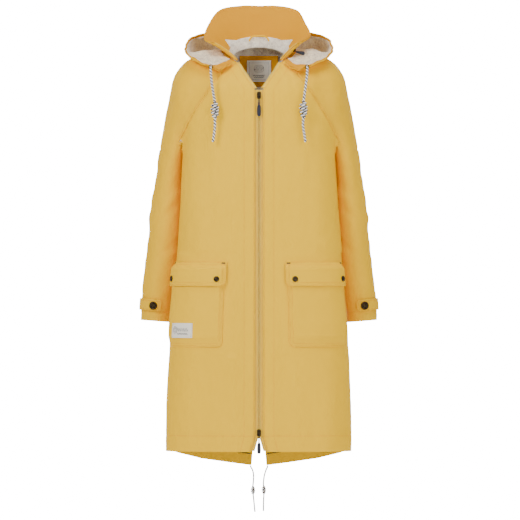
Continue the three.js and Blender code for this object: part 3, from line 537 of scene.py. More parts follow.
# ---------------------------------------------------------------- materials
def node_group(name, sockets_in, sockets_out):
    group = bpy.data.node_groups.new(name, "ShaderNodeTree")
    for label, kind, default in sockets_in:
        socket = group.interface.new_socket(label, in_out="INPUT", socket_type=kind)
        socket.default_value = default
    for label, kind in sockets_out:
        group.interface.new_socket(label, in_out="OUTPUT", socket_type=kind)
    return group, group.nodes.new("NodeGroupInput"), group.nodes.new("NodeGroupOutput")


def link(tree, a, b):
    tree.links.new(a, b)


def math_node(tree, operation, a=None, b=None, clamp=False):
    node = tree.nodes.new("ShaderNodeMath")
    node.operation = operation
    node.use_clamp = clamp
    for socket, value in zip(node.inputs, (a, b)):
        if value is None:
            continue
        if isinstance(value, (int, float)):
            socket.default_value = value
        else:
            link(tree, value, socket)
    return node.outputs[0]


def weave_group():
    """Two crossing sets of threads, with a slow change of tone, in object coordinates."""
    tree, start, end = node_group(
        "woven_cloth",
        [("Colour", "NodeSocketColor", (1, 1, 1, 1)), ("Tone", "NodeSocketFloat", 0.05),
         ("Threads", "NodeSocketFloat", 1600.0)],
        [("Colour", "NodeSocketColor"), ("Height", "NodeSocketFloat")])
    coords = tree.nodes.new("ShaderNodeTexCoord").outputs["Object"]
    scaled = tree.nodes.new("ShaderNodeVectorMath")
    scaled.operation = "SCALE"
    link(tree, coords, scaled.inputs[0])
    link(tree, start.outputs["Threads"], scaled.inputs["Scale"])
    split = tree.nodes.new("ShaderNodeSeparateXYZ")
    link(tree, scaled.outputs[0], split.inputs[0])
    across = math_node(tree, "ADD", split.outputs[0], split.outputs[1])
    warp = math_node(tree, "SINE", across)
    weft = math_node(tree, "SINE", split.outputs[2])
    threads = math_node(tree, "MULTIPLY", warp, weft)
    slow = tree.nodes.new("ShaderNodeTexNoise")
    slow.inputs["Scale"].default_value = 9.0
    slow.inputs["Detail"].default_value = 3.0
    link(tree, coords, slow.inputs["Vector"])
    fine = tree.nodes.new("ShaderNodeTexNoise")
    fine.inputs["Scale"].default_value = 420.0
    link(tree, coords, fine.inputs["Vector"])
    tone = math_node(tree, "SUBTRACT", slow.outputs["Fac"], 0.5)
    speck = math_node(tree, "MULTIPLY", math_node(tree, "SUBTRACT", fine.outputs["Fac"], 0.5), 0.6)
    change = math_node(tree, "MULTIPLY", math_node(tree, "ADD", tone, speck), start.outputs["Tone"])
    value = math_node(tree, "ADD", change, 1.0)
    tint = tree.nodes.new("ShaderNodeVectorMath")
    tint.operation = "SCALE"
    link(tree, start.outputs["Colour"], tint.inputs[0])
    link(tree, value, tint.inputs["Scale"])
    link(tree, tint.outputs[0], end.inputs["Colour"])
    height = math_node(tree, "ADD", threads, math_node(tree, "MULTIPLY", fine.outputs["Fac"], 0.8))
    link(tree, height, end.inputs["Height"])
    return tree


WEAVE = weave_group()


def linear(srgb):
    """Display values from 0 to 255 as linear light."""
    shares = [c / 255 for c in srgb]
    return tuple(c / 12.92 if c <= 0.04045 else ((c + 0.055) / 1.055) ** 2.4 for c in shares)


def noise_texture(tree, vector, scale, detail=None, distortion=None):
    node = tree.nodes.new("ShaderNodeTexNoise")
    for label, value in (("Scale", scale), ("Detail", detail), ("Distortion", distortion)):
        if value is not None:
            node.inputs[label].default_value = value
    link(tree, vector, node.inputs["Vector"])
    return node.outputs["Fac"]


def colour_ramp(tree, factor, low, high, low_at=0.0, high_at=1.0):
    """Linear colours from low to high, over a stretch of a factor."""
    node = tree.nodes.new("ShaderNodeValToRGB")
    for element, colour, at in zip(node.color_ramp.elements, (low, high), (low_at, high_at)):
        element.position = at
        element.color = (*colour, 1)
    link(tree, factor, node.inputs["Fac"])
    return node.outputs["Color"]


def blank_material(name, roughness, metallic=0.0):
    mat = bpy.data.materials.new(name)
    mat.use_nodes = True
    tree = mat.node_tree
    shader = tree.nodes["Principled BSDF"]
    shader.inputs["Roughness"].default_value = roughness
    shader.inputs["Metallic"].default_value = metallic
    return mat, tree, shader


def bump(tree, shader, height, distance, strength=1.0):
    node = tree.nodes.new("ShaderNodeBump")
    node.inputs["Distance"].default_value = distance
    node.inputs["Strength"].default_value = strength
    link(tree, height, node.inputs["Height"])
    link(tree, node.outputs[0], shader.inputs["Normal"])


def cloth(name, srgb, roughness=0.62, tone=0.07, threads=2600.0, relief=0.00012, sheen=0.0):
    mat, tree, shader = blank_material(name, roughness)
    shader.inputs["Sheen Weight"].default_value = sheen
    shader.inputs["Specular IOR Level"].default_value = 0.12
    weave = tree.nodes.new("ShaderNodeGroup")
    weave.node_tree = WEAVE
    weave.inputs["Colour"].default_value = (*linear(srgb), 1)
    weave.inputs["Tone"].default_value = tone
    weave.inputs["Threads"].default_value = threads
    link(tree, weave.outputs["Colour"], shader.inputs["Base Color"])
    bump(tree, shader, weave.outputs["Height"], relief, 0.5)
    return mat


def pile(name, srgb, shade):
    """Curly pile: clumps a few millimetres across, with painted shade in the hollows between them and painted
    light on their tops.
    """
    mat, tree, shader = blank_material(name, 0.95)
    shader.inputs["Sheen Weight"].default_value = 0.35
    shader.inputs["Sheen Roughness"].default_value = 0.6
    coords = tree.nodes.new("ShaderNodeTexCoord").outputs["Object"]
    tufts = noise_texture(tree, coords, 210.0, 4.0, 1.6)
    clumps = noise_texture(tree, coords, 60.0, 2.0)
    height = math_node(tree, "ADD", tufts, math_node(tree, "MULTIPLY", clumps, 0.7))
    # painted shade and light: the low colour darkens the hollows between clumps as shade, the high colour
    # lightens their tops as if lit
    low, high = [c * shade for c in linear(srgb)], [min(1, c * 1.12) for c in linear(srgb)]
    link(tree, colour_ramp(tree, height, low, high, 0.62), shader.inputs["Base Color"])
    bump(tree, shader, height, 0.0012, 0.9)
    return mat


def worn_metal(name, srgb, high, roughness=0.38):
    """Dark metal that is brighter where noise says it is rubbed."""
    mat, tree, shader = blank_material(name, roughness, 1.0)
    coords = tree.nodes.new("ShaderNodeTexCoord").outputs["Object"]
    patches = noise_texture(tree, coords, 240.0, 5.0)
    rubbed = colour_ramp(tree, patches, linear(srgb), linear(high), 0.35, 0.75)
    link(tree, rubbed, shader.inputs["Base Color"])
    rough = math_node(tree, "ADD", math_node(tree, "MULTIPLY", patches, 0.3), roughness - 0.12)
    link(tree, rough, shader.inputs["Roughness"])
    bump(tree, shader, patches, 0.00008, 0.5)
    return mat


def moulded(name, srgb, roughness=0.45, grain=600.0):
    mat, tree, shader = blank_material(name, roughness)
    coords = tree.nodes.new("ShaderNodeTexCoord").outputs["Object"]
    speck = noise_texture(tree, coords, grain)
    low, high = [c * 0.85 for c in linear(srgb)], [min(1, c * 1.15) for c in linear(srgb)]
    link(tree, colour_ramp(tree, speck, low, high), shader.inputs["Base Color"])
    bump(tree, shader, speck, 0.00005, 0.6)
    return mat


def twisted_cord(name, light, dark, turns_per_m, diameter):
    """Two colours twisted round the cord, read from the piece's own UV: u round it, v along it in metres."""
    mat, tree, shader = blank_material(name, 0.8)
    uv = tree.nodes.new("ShaderNodeUVMap")
    uv.uv_map = "UVMap"
    split = tree.nodes.new("ShaderNodeSeparateXYZ")
    link(tree, uv.outputs[0], split.inputs[0])
    twist = math_node(tree, "ADD", math_node(tree, "MULTIPLY", split.outputs[1], turns_per_m),
                      split.outputs[0])
    strand = math_node(tree, "FRACT", math_node(tree, "MULTIPLY", twist, 2.0))
    stripe = math_node(tree, "GREATER_THAN", strand, 0.52)
    colour = tree.nodes.new("ShaderNodeMix")
    colour.data_type = "RGBA"
    link(tree, stripe, colour.inputs["Factor"])
    colour.inputs["A"].default_value = (*linear(light), 1)
    colour.inputs["B"].default_value = (*linear(dark), 1)
    link(tree, colour.outputs["Result"], shader.inputs["Base Color"])
    ridge = math_node(tree, "SINE", math_node(tree, "MULTIPLY", strand, math.pi))
    bump(tree, shader, ridge, diameter * 0.06, 0.7)
    return mat


YELLOW = cloth("shell_cloth", (255, 200, 0))
SLEEVE_YELLOW = cloth("sleeve_cloth", (250, 194, 0))
FACING_YELLOW = cloth("facing_cloth", (226, 154, 0), 0.66)
BODY_PILE = pile("body_pile", (250, 232, 210), 0.62)
HOOD_PILE = pile("hood_pile", (250, 224, 190), 0.62)
TAPE = cloth("zip_tape", (250, 205, 60), 0.7, 0.04, 3200.0, 0.0002)
THREAD = moulded("yellow_thread", (240, 164, 0), 0.7, 900.0)
TEETH = moulded("zip_teeth", (252, 212, 90), 0.4, 300.0)
OLD_BRASS = worn_metal("old_brass", (44, 38, 27), (104, 90, 62), 0.42)
NAVY = moulded("navy_rubber", (30, 34, 46), 0.5)
NAVY_THREAD = moulded("navy_thread", (34, 38, 52), 0.75, 900.0)
LABEL = cloth("label_cloth", (242, 235, 220), 0.75, 0.03, 3400.0)


# ---------------------------------------------------------------- stitches
def row_tree(name, numbers, make_one, make_size):
    """A geometry tree that puts one small part on every point, turned along its row."""
    tree = bpy.data.node_groups.new(name, "GeometryNodeTree")
    tree.interface.new_socket("Geometry", in_out="INPUT", socket_type="NodeSocketGeometry")
    for label in numbers:
        tree.interface.new_socket(label, in_out="INPUT", socket_type="NodeSocketFloat")
    tree.interface.new_socket("Material", in_out="INPUT", socket_type="NodeSocketMaterial")
    tree.interface.new_socket("Geometry", in_out="OUTPUT", socket_type="NodeSocketGeometry")
    add = tree.nodes.new
    start, end = add("NodeGroupInput"), add("NodeGroupOutput")
    size = add("ShaderNodeCombineXYZ")
    for label, socket in zip(make_size, size.inputs):
        link(tree, start.outputs[label], socket)
    along = add("GeometryNodeInputNamedAttribute")
    along.data_type = "FLOAT_VECTOR"
    along.inputs["Name"].default_value = "along"
    turn = add("FunctionNodeAlignRotationToVector")
    turn.axis = "X"
    link(tree, along.outputs["Attribute"], turn.inputs["Vector"])
    on = add("GeometryNodeInstanceOnPoints")
    link(tree, start.outputs["Geometry"], on.inputs["Points"])
    link(tree, make_one(tree), on.inputs["Instance"])
    link(tree, turn.outputs["Rotation"], on.inputs["Rotation"])
    link(tree, size.outputs[0], on.inputs["Scale"])
    real = add("GeometryNodeRealizeInstances")
    link(tree, on.outputs[0], real.inputs[0])
    paint = add("GeometryNodeSetMaterial")
    link(tree, real.outputs[0], paint.inputs["Geometry"])
    link(tree, start.outputs["Material"], paint.inputs["Material"])
    link(tree, paint.outputs[0], end.inputs[0])
    return tree


def bead(tree, segments, rings, radius):
    ball = tree.nodes.new("GeometryNodeMeshUVSphere")
    ball.inputs["Segments"].default_value = segments
    ball.inputs["Rings"].default_value = rings
    ball.inputs["Radius"].default_value = radius
    return ball.outputs["Mesh"]


def zip_tooth(tree):
    """A leg towards the tape and a rounded head."""
    leg = tree.nodes.new("GeometryNodeMeshCube")
    leg.inputs["Size"].default_value = (0.66, 0.62, 0.48)
    leg_at = tree.nodes.new("GeometryNodeTransform")
    link(tree, leg.outputs[0], leg_at.inputs["Geometry"])
    leg_at.inputs["Translation"].default_value = (0.62, 0, 0)
    both = tree.nodes.new("GeometryNodeJoinGeometry")
    link(tree, leg_at.outputs[0], both.inputs[0])
    link(tree, bead(tree, 8, 5, 0.42), both.inputs[0])
    return both.outputs[0]


STITCHES = row_tree("stitch_rows", ("Length", "Thickness"), lambda tree: bead(tree, 6, 4, 0.5),
                    ("Length", "Thickness", "Thickness"))
ZIP_TEETH = row_tree("zip_teeth", ("Pitch",), zip_tooth, ("Pitch", "Pitch", "Pitch"))


def run_tree(name, tree, points, attributes, inputs, body, material):
    """Points and vectors through a geometry tree, kept as a plain mesh on one body."""
    mesh = bpy.data.meshes.new(name + "_points")
    mesh.from_pydata([tuple(p) for p in points], [], [])
    for label, values in attributes.items():
        layer = mesh.attributes.new(label, "FLOAT_VECTOR", "POINT")
        layer.data.foreach_set("vector", np.asarray(values, float).ravel())
    obj = bpy.data.objects.new(name + "_points", mesh)
    bpy.context.collection.objects.link(obj)
    mod = obj.modifiers.new("rows", "NODES")
    mod.node_group = tree
    for item in tree.interface.items_tree:
        if item.in_out == "INPUT" and item.name in inputs:
            mod[item.identifier] = inputs[item.name]
    graph = bpy.context.evaluated_depsgraph_get()
    made = bpy.data.meshes.new_from_object(obj.evaluated_get(graph))
    bpy.data.objects.remove(obj)
    out = bpy.data.objects.new(name, made)
    bpy.context.collection.objects.link(out)
    if not made.materials:
        made.materials.append(material)
    made.polygons.foreach_set("use_smooth", [True] * len(made.polygons))
    face_outwards(out)
    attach(out, body)
    return out


def distance_along(line):
    """The distance walked to each point of a line."""
    return np.concatenate([[0], np.cumsum(np.linalg.norm(np.diff(line, axis=0), axis=1))])


def resample(line, pitch):
    line = np.asarray(line, float)
    walked = distance_along(line)
    count = max(int(walked[-1] / pitch), 2)
    at = (np.arange(count) + 0.5) * walked[-1] / count
    points = np.stack([np.interp(at, walked, line[:, k]) for k in range(3)], axis=1)
    step = walked[-1] / count * 0.4
    ahead = np.stack([np.interp(at + step, walked, line[:, k]) for k in range(3)], axis=1)
    back = np.stack([np.interp(at - step, walked, line[:, k]) for k in range(3)], axis=1)
    return points, ahead - back


def stitch_piece(name, lines, body=COAT, pitch=3.3, length=2.5, thickness=0.75, material=None):
    material = material or THREAD
    pairs = [resample(line, pitch) for line in lines if len(line) > 1]
    points = np.concatenate([p for p, _ in pairs])
    along = np.concatenate([a for _, a in pairs])
    inputs = {"Length": length * MM, "Thickness": thickness * MM, "Material": material}
    return run_tree(name, STITCHES, place(points), {"along": along * MM}, inputs, body, material)


def tri_tree(points, tris):
    return BVHTree.FromPolygons([Vector(p) for p in points], [tuple(map(int, t)) for t in tris])


class Surface:
    """A finished sheet's outer face, for laying things on it."""

    def __init__(self, sheet, lift=0.0):
        self.points = sheet.points + sheet.normals * np.reshape(lift, (-1, 1))
        self.normals = sheet.normals
        self.tris = sheet.tris
        self.tree = tri_tree(self.points, self.tris)

    def at_front(self, x, z, back=False):
        """The surface point straight behind an x and z, seen from the front or the back."""
        y = 500.0 if back else -500.0
        hit, _, index, _ = self.tree.ray_cast(Vector((x, y, z)), Vector((0, -1 if back else 1, 0)))
        if hit is None:
            return None, None
        return np.array(hit), self.normals[self.tris[index]].mean(axis=0)

    def lay(self, path, lift=0.2, back=False):
        """Points of a path of x and z pairs, laid on the surface."""
        out = []
        for x, z in path:
            point, normal = self.at_front(x, z, back)
            if point is not None:
                out.append(point + normal * lift)
        return out


def contour(sheet, field, lift=0.25):
    """The ordered points where a field is zero on a sheet, as one or more lines."""
    value = field(sheet.points)
    segments = []
    for tri in sheet.tris[np.ptp(np.sign(value[sheet.tris]), axis=1) > 0]:
        ends = []
        for a, b in ((0, 1), (1, 2), (2, 0)):
            va, vb = value[tri[a]], value[tri[b]]
            if (va > 0) != (vb > 0):
                t = va / (va - vb)
                ends.append((tuple(sorted((int(tri[a]), int(tri[b])))), mix(
                    sheet.points[tri[a]] + sheet.normals[tri[a]] * lift,
                    sheet.points[tri[b]] + sheet.normals[tri[b]] * lift, t)))
        if len(ends) == 2:
            segments.append(ends)
    where, next_to = {}, {}
    for (ka, pa), (kb, pb) in segments:
        where[ka], where[kb] = pa, pb
        next_to.setdefault(ka, []).append(kb)
        next_to.setdefault(kb, []).append(ka)
    lines, seen = [], set()
    starts = [k for k, v in next_to.items() if len(v) == 1] + list(next_to)
    for key in starts:
        if key in seen:
            continue
        line = [key]
        seen.add(key)
        while True:
            step = next((k for k in next_to[line[-1]] if k not in seen), None)
            if step is None:
                break
            seen.add(step)
            line.append(step)
        if len(line) > 6:
            lines.append([where[k] for k in line])
    return lines


# ---------------------------------------------------------------- shell and linings
SHELL_CLOTH, LINING_OUT, LINING_IN = 2.2, 3.5, 6.6
FRONT_SPACING, BACK_SPACING, SLEEVE_SPACING, LINING_SPACING = 2.8, 4.0, 3.2, 5.0


def folded(sheet, folds):
    return sheet.shifted(folds(sheet.points)).rough_normals()


def sheet_area(sheet):
    """A sheet's area in square metres."""
    a, b, c = (sheet.points[sheet.tris[:, k]] for k in range(3))
    return float(np.linalg.norm(np.cross(b - a, c - a), axis=1).sum() / 2) * MM * MM


def hang(sheet, flat):
    """Work out the width and length of a sheet cut for a piece, from its flat size in millimetres and the
    area its draft covers; nothing is kept or returned.
    """
    width, length = (side * MM for side in flat)
    area = min(sheet_area(sheet), width * length)
    if area < SLIM_CUT * width * length:
        length = max(area / width, LEAST_CUT)
        width = area / length


SLIM_CUT, LEAST_CUT = 0.35, 0.012


def grid_size(grid):
    """The longest row and column of a grid, in millimetres: the cloth's flat size."""
    wide = np.linalg.norm(np.diff(grid, axis=0), axis=2).sum(axis=0).max()
    tall = np.linalg.norm(np.diff(grid, axis=1), axis=2).sum(axis=1).max()
    return float(wide), float(tall)


FRONT_FLAT, BACK_FLAT, SLEEVE_FLAT = (330, 980), (600, 1100), (600, 800)
FRONT_LINING_FLAT, BACK_LINING_FLAT, SLEEVE_LINING_FLAT = (320, 940), (580, 1040), (580, 770)


def front_lines(p):
    """Rows of stitching pressed into a front: its edge, the hem, the raglan seam."""
    ax, z = np.abs(p[:, 0]), p[:, 2]
    edge = ax - opening_half(z)
    return [(edge - 6, 0.5), (edge - FACING_WIDTH, 0.6), (z - FRONT_HEM_Z - HEM_DEPTH, 0.7),
            (past_raglan(p) + 6, 0.5)]


front_base = folded(onto_skin(body_sheet(FRONT_SPACING)), body_folds)
SHELLS = {}
for side, name in ((-1, "left"), (1, "right")):
    panel = front_base.keep(front_field(side))
    relief = sewn(front_lines(panel.points)) + seam_relief(past_raglan(panel.points))
    panel = panel.shifted(relief)
    SHELLS[f"front_{name}"] = panel
    obj = cloth_piece(f"front_{name}_panel_cloth", panel, 0.0, -SHELL_CLOTH, YELLOW,
                      node=f"front_{name}_panel", slot="shell_cloth")
    hang(panel, FRONT_FLAT)

back_skin = onto_skin(body_sheet(BACK_SPACING))
back = folded(back_skin, body_folds).keep(back_field())
relief = sewn([(back.points[:, 2] - tail_z(back.points[:, 0]) - HEM_DEPTH, 0.7),
                            (past_raglan(back.points) + 6, 0.5)]) + seam_relief(past_raglan(back.points))
back = back.shifted(relief)
SHELLS["back"] = back
obj = cloth_piece("back_panel_cloth", back, 0.0, -SHELL_CLOTH, YELLOW, node="back_panel", slot="shell_cloth")
hang(back, BACK_FLAT)


def arm_relief(p):
    """The cuff's stitching, and the raglan seam above the underarm."""
    z, seam = p[:, 2], past_raglan(p)
    near = smooth((z - UNDERARM_Z + 10) / 20)
    beside_seam = sewn([(seam - 6, 0.5), (seam - 9, 0.4)]) + seam_relief(seam)
    return sewn([(z - CUFF_STITCH_Z, 0.8)]) + near * beside_seam


for side, name in ((-1, "left"), (1, "right")):
    arm = folded(onto_skin(sleeve_sheet(side, SLEEVE_SPACING)), arm_folds).keep(sleeve_field())
    arm = arm.shifted(arm_relief(arm.points))
    shoulder = folded(back_skin, arm_folds).keep(shoulder_field(side))
    shoulder = shoulder.shifted(arm_relief(shoulder.points))
    SHELLS[f"{name}_sleeve"], SHELLS[f"{name}_shoulder"] = arm, shoulder
    top = cloth_piece(f"{name}_shoulder_cloth", shoulder, 0.0, -SHELL_CLOTH, SLEEVE_YELLOW,
                      node=f"{name}_sleeve", slot="sleeve_cloth")
    obj = cloth_piece(f"{name}_sleeve_cloth", arm, 0.0, -SHELL_CLOTH, SLEEVE_YELLOW, node=f"{name}_sleeve",
                      slot="sleeve_cloth")
    hang(arm, SLEEVE_FLAT)
    hang(shoulder, (170, 190))


def curls(points, seed, depth=1.1):
    clumps = noise_values(points, (0.19, 0.19, 0.19), seed)
    tufts = noise_values(points, (0.4, 0.4, 0.4), seed + 1)
    return clumps * depth + tufts * depth * 0.5


def pile_depth(sheet, seed):
    """How far a lining's curly face lies behind its backing."""
    return LINING_OUT - LINING_IN - curls(sheet.points, seed)


def lining_layer(skin, folds):
    return skin.shifted(folds(skin.points) * 0.9 - LINING_OUT - 0.2)


lining_skin = onto_skin(body_sheet(LINING_SPACING))
lining_base = lining_layer(lining_skin, body_folds)
shoulder_lining = lining_layer(lining_skin, arm_folds)
for side, name in ((-1, "left"), (1, "right")):
    sheet = lining_base.keep(front_field(side, edge=9.5, hem=38))
    obj = cloth_piece(f"front_{name}_lining_pile", sheet, 0.0, pile_depth(sheet, 21), BODY_PILE,
                      node=f"front_{name}_lining", slot="body_pile")
    hang(sheet, FRONT_LINING_FLAT)
sheet = lining_base.keep(back_field(hem=52, vent=14))
obj = cloth_piece("back_lining_pile", sheet, 0.0, pile_depth(sheet, 23), BODY_PILE,
                  node="back_lining", slot="body_pile")
hang(sheet, BACK_LINING_FLAT)
for side, name in ((-1, "left"), (1, "right")):
    arm_lining = lining_layer(onto_skin(sleeve_sheet(side, LINING_SPACING)), arm_folds)
    for part, sheet in (
            ("sleeve", arm_lining.keep(sleeve_field(cuff=20))),
            ("shoulder", shoulder_lining.keep(shoulder_field(side, cuff=20)))):
        obj = cloth_piece(f"{name}_{part}_lining_pile", sheet, 0.0, pile_depth(sheet, 25), BODY_PILE,
                          node=f"{name}_sleeve_lining", slot="body_pile")
        hang(sheet, SLEEVE_LINING_FLAT if part == "sleeve" else (165, 185))


# ---------------------------------------------------------------- collar and hood
def spline(rows, t):
    """A smooth line through evenly numbered points, with t from 0 to 1."""
    rows = np.asarray(rows, float)
    return between_rings(rows, np.asarray(t) * (len(rows) - 1))


COLLAR_EDGE = np.array([(-114, -66, -21), (-136, -14, -10), (-126, 40, 26), (-98, 82, 63), (-44, 97, 75),
                        (0, 99, 75), (44, 97, 75), (95, 82, 63), (116, 40, 30), (128, -14, -4),
                        (98, -66, -23)])
NECK_START, NECK_SWEEP = math.radians(230), math.radians(280)
COLLAR_CLOTH, CLOTH_GAP = 2.0, 0.4


def collar_grid(u, v):
    base = body_point(NECK_START - NECK_SWEEP * u, np.zeros_like(u)) + [0, 0, CLOTH_GAP]
    edge = spline(COLLAR_EDGE, u)
    grid = mix(base, edge, v[..., None])
    grid[..., 2] += 14 * v * (1 - v)
    return grid


def creased(grid, normal, scale, depth, seed, weight=1.0):
    flat = noise_values(grid.reshape(-1, 3), scale, seed).reshape(grid.shape[:2])
    return grid + normal * (flat * depth * weight)[..., None]


def as_sheet(grid, normal):
    sheet = Sheet.from_grid(grid, np.zeros(3))
    sheet.normals = normal.reshape(-1, 3).copy()
    return sheet


u, v = np.meshgrid(np.linspace(0, 1, 300), np.linspace(0, 1, 44), indexing="ij")
collar = collar_grid(u, v)
into_neck = grid_normals(collar)
if np.sum(into_neck * (np.array([0, 10, 20.0]) - collar)) < 0:
    into_neck = -into_neck
collar = creased(collar, into_neck, (0.02, 0.02, 0.03), 2.0, 31, smooth(v * 2.2))
COLLAR_LENGTH, COLLAR_HEIGHT = 560, 95
edge_distance = np.minimum(np.minimum(u, 1 - u) * COLLAR_LENGTH, (1 - v) * COLLAR_HEIGHT)
relief = -0.7 * np.exp(-((edge_distance - 7) / 1.6) ** 2)
relief -= 0.5 * np.exp(-((v * COLLAR_HEIGHT - 6) / 1.6) ** 2)
round_off = 1.3 * smooth((2.4 - edge_distance) / 2.4)
outer = as_sheet(collar, into_neck)
obj = cloth_piece("collar_outer_cloth", outer, (round_off - relief).ravel(), COLLAR_CLOTH + 0.3,
                  YELLOW, node="collar_outer", slot="shell_cloth")
hang(outer, grid_size(collar))


def pile_field(p):
    """Inside the neck, below a level line and between the turned-out front edges, the collar is pile."""
    return np.minimum(-13 - p[:, 2], 86 + 0.68 * (p[:, 2] + 15) - np.abs(p[:, 0]))


facing = as_sheet(collar + into_neck * (relief - round_off)[..., None], into_neck)
facing_part = facing.keep(lambda p: -pile_field(p))
obj = cloth_piece("collar_facing_cloth", facing_part, 2 * COLLAR_CLOTH + 1.0, COLLAR_CLOTH + 0.4,
                  FACING_YELLOW, node="collar_facing", slot="facing_cloth")
hang(facing_part, grid_size(collar))
neck_pile = facing.keep(pile_field)
obj = cloth_piece("collar_facing_pile", neck_pile, 2 * COLLAR_CLOTH + 1.6 + curls(neck_pile.points, 35),
                  COLLAR_CLOTH + 0.4, BODY_PILE, node="collar_facing", slot="body_pile")
hang(neck_pile, (250, 20))
s, t = np.meshgrid(np.linspace(0.04, 0.96, 220), np.linspace(0, 1, 14), indexing="ij")
above_seam = collar_grid(s, np.full_like(s, 0.09))
below_seam = body_point(NECK_START - NECK_SWEEP * s, np.full_like(s, 0.12), 8.0) - [0, 0, 7.0]
roll = mix(above_seam, below_seam, t[..., None])
roll_in = -roll * [1, 1, 0] / np.linalg.norm(roll[..., :2], axis=2, keepdims=True)
roll = roll + roll_in * (5.0 + 1.5 * np.sin(math.pi * t))[..., None]
seam_pile = as_sheet(roll, roll_in)
obj = cloth_piece("neck_seam_pile", seam_pile, 1.6 + curls(seam_pile.points, 37), 0.0, BODY_PILE,
                  slot="body_pile")
hang(seam_pile, grid_size(roll))
inner_face = collar + into_neck * (2 * COLLAR_CLOTH + 1.15)
rows_in = [inner_face[6:-6, -5], inner_face[4, 3:-5], inner_face[-5, 3:-5]]
stitch_piece("collar_stitches", rows_in + [(collar - into_neck * 0.1)[4:-4, -5]], material=THREAD)

HALF_HOOD = [
    [(-62, -76, -66), (-68, -82, -70), (-74, -88, -74), (-80, -93, -78), (-86, -98, -82), (-92, -102, -86),
     (-98, -105, -89)],
    [(-84, -38, -56), (-96, -46, -58), (-110, -54, -61), (-126, -62, -65), (-142, -70, -67), (-156, -74, -63),
     (-166, -74, -57)],
    [(-92, 6, -40), (-106, 5, -38), (-122, 4, -39), (-140, 2, -42), (-158, 0, -46), (-174, -3, -43),
     (-181, -6, -29)],
    [(-66, 62, -22), (-84, 86, -34), (-100, 112, -66), (-112, 134, -104), (-132, 140, -92), (-152, 122, -42),
     (-150, 96, 4)],
    [(0, 82, -6), (0, 104, -22), (0, 126, -62), (0, 142, -130), (0, 172, -140), (0, 186, -60), (0, 170, 25)]]
hood_rows = np.array(HALF_HOOD + [[(-x, y, z) for x, y, z in row] for row in HALF_HOOD[-2::-1]], float)


HOOD_AROUND, HOOD_ACROSS, HOOD_DEPTH, HOOD_LENGTH = 390, 104, 230, 620


def hood_grid(around, across):
    """A smooth surface through the hood's rows of points, each row from the neck to the rim."""
    lines = between_rings(hood_rows.reshape(len(hood_rows), -1), np.linspace(0, 8, around))
    lines = lines.reshape(around, 7, 3)
    grid = between_rings(lines.transpose(1, 0, 2).reshape(7, -1), np.linspace(0, 6, across))
    return grid.reshape(across, around, 3).transpose(1, 0, 2)


hood = hood_grid(HOOD_AROUND, HOOD_ACROSS)
hood_normal = grid_normals(hood)
hood_up = hood_normal if hood_normal[HOOD_AROUND // 2, 10, 2] > 0 else -hood_normal
hu, hv = np.meshgrid(np.linspace(0, 1, HOOD_AROUND), np.linspace(0, 1, HOOD_ACROSS), indexing="ij")
hood = creased(hood, hood_up, (0.022, 0.022, 0.03), 5.0, 41, smooth(hv * 4) * smooth((1.02 - hv) * 3))
hood = creased(hood, hood_up, (0.05, 0.05, 0.05), 2.6, 42)
hood_sheet = as_sheet(hood, hood_up)
rim = (1 - hv) * HOOD_DEPTH
channel = -0.7 * np.exp(-((rim - 25) / 1.8) ** 2)
obj = cloth_piece("hood_shell_cloth", hood_sheet, 0.0, (-2.2 - channel).ravel(), YELLOW, node="hood_shell",
                  slot="shell_cloth")
hang(hood_sheet, grid_size(hood))
fluff = curls(hood_sheet.points, 43, 1.5) * smooth(rim.ravel() / 8) * smooth((hv.ravel()) * 40)
RIM_BAND = 7.0


def rim_field(grid_u, grid_v):
    """Distance in from the hood's rim band and its front ends, in millimetres."""
    ends = np.minimum(grid_u, 1 - grid_u)
    band = RIM_BAND + 20 * smooth((0.32 - ends) / 0.2)
    return np.minimum((1 - grid_v) * HOOD_DEPTH - band, ends * HOOD_LENGTH - 34).ravel()


from_rim = rim_field(hu, hv)
crumple = noise_values(hood_sheet.points, (0.06, 0.06, 0.05), 45) * 2.2
band = -0.7 * np.exp(-(from_rim / 1.8) ** 2) + crumple * smooth(-from_rim / 8)
cut = hood_sheet.with_values(from_rim, fluff)
pile_part, (_, puff) = cut.keep_values(0, 1)
obj = cloth_piece("hood_lining_pile", pile_part, 3.6 + puff, 0.4, HOOD_PILE, node="hood_lining",
                  slot="hood_pile")
hang(pile_part, grid_size(hood))
cut = hood_sheet.with_values(from_rim, band)
rim_part, (_, wave_height) = cut.keep_values(0, -1)
obj = cloth_piece("hood_rim_facing", rim_part, 2.2 + 0.8 * wave_height, 0.4, FACING_YELLOW,
                  node="hood_lining", slot="facing_cloth")
hang(rim_part, (grid_size(hood)[0], 60))


# ---------------------------------------------------------------- pockets and flaps
FRONT_LEVEL_Z = -640.0
POCKET = dict(top=-588.0, bottom=-765.0, width=158.0, corner=13.0, start={-1: 86.0, 1: 71.0})
FLAP = dict(top=-560.0, height=62.0, overhang=5.0)
POCKET_CLOTH, FLAP_CLOTH, FLAP_CLEAR, LAY, SLACK = 1.8, 2.2, 3.2, 0.9, 7.5


def level_at(z):
    return np.interp(-np.asarray(z, float), [280, 370, 455, 550, 705, 845, 960, 1090], np.arange(5, 13))


ANGLES = np.linspace(-math.pi / 2, 0.4, 2400)
AROUND = body_point(ANGLES, np.full_like(ANGLES, float(level_at(FRONT_LEVEL_Z))))
WALKED = distance_along(AROUND)


def on_front(side, a, z):
    """The body's surface at a distance along the cloth from the pocket's inner edge."""
    from_x = np.interp(POCKET["start"][side], AROUND[:, 0], WALKED)
    angle = np.interp(from_x + a, WALKED, ANGLES)
    point = body_point(angle, level_at(z))
    point[..., 0] *= side
    return point


def fullness(a):
    return smooth(np.minimum(a, POCKET["width"] - a) / 12)


def pocket_lift(a, z):
    return LAY + SLACK * fullness(a) * smooth((z - POCKET["bottom"]) / 28)


def flap_lift(a, z):
    inner = a + 4 * np.sign(POCKET["width"] / 2 - a)
    return mix(LAY, LAY + SLACK * fullness(inner) + POCKET_CLOTH + FLAP_CLEAR, smooth((FLAP["top"] - z) / 22))


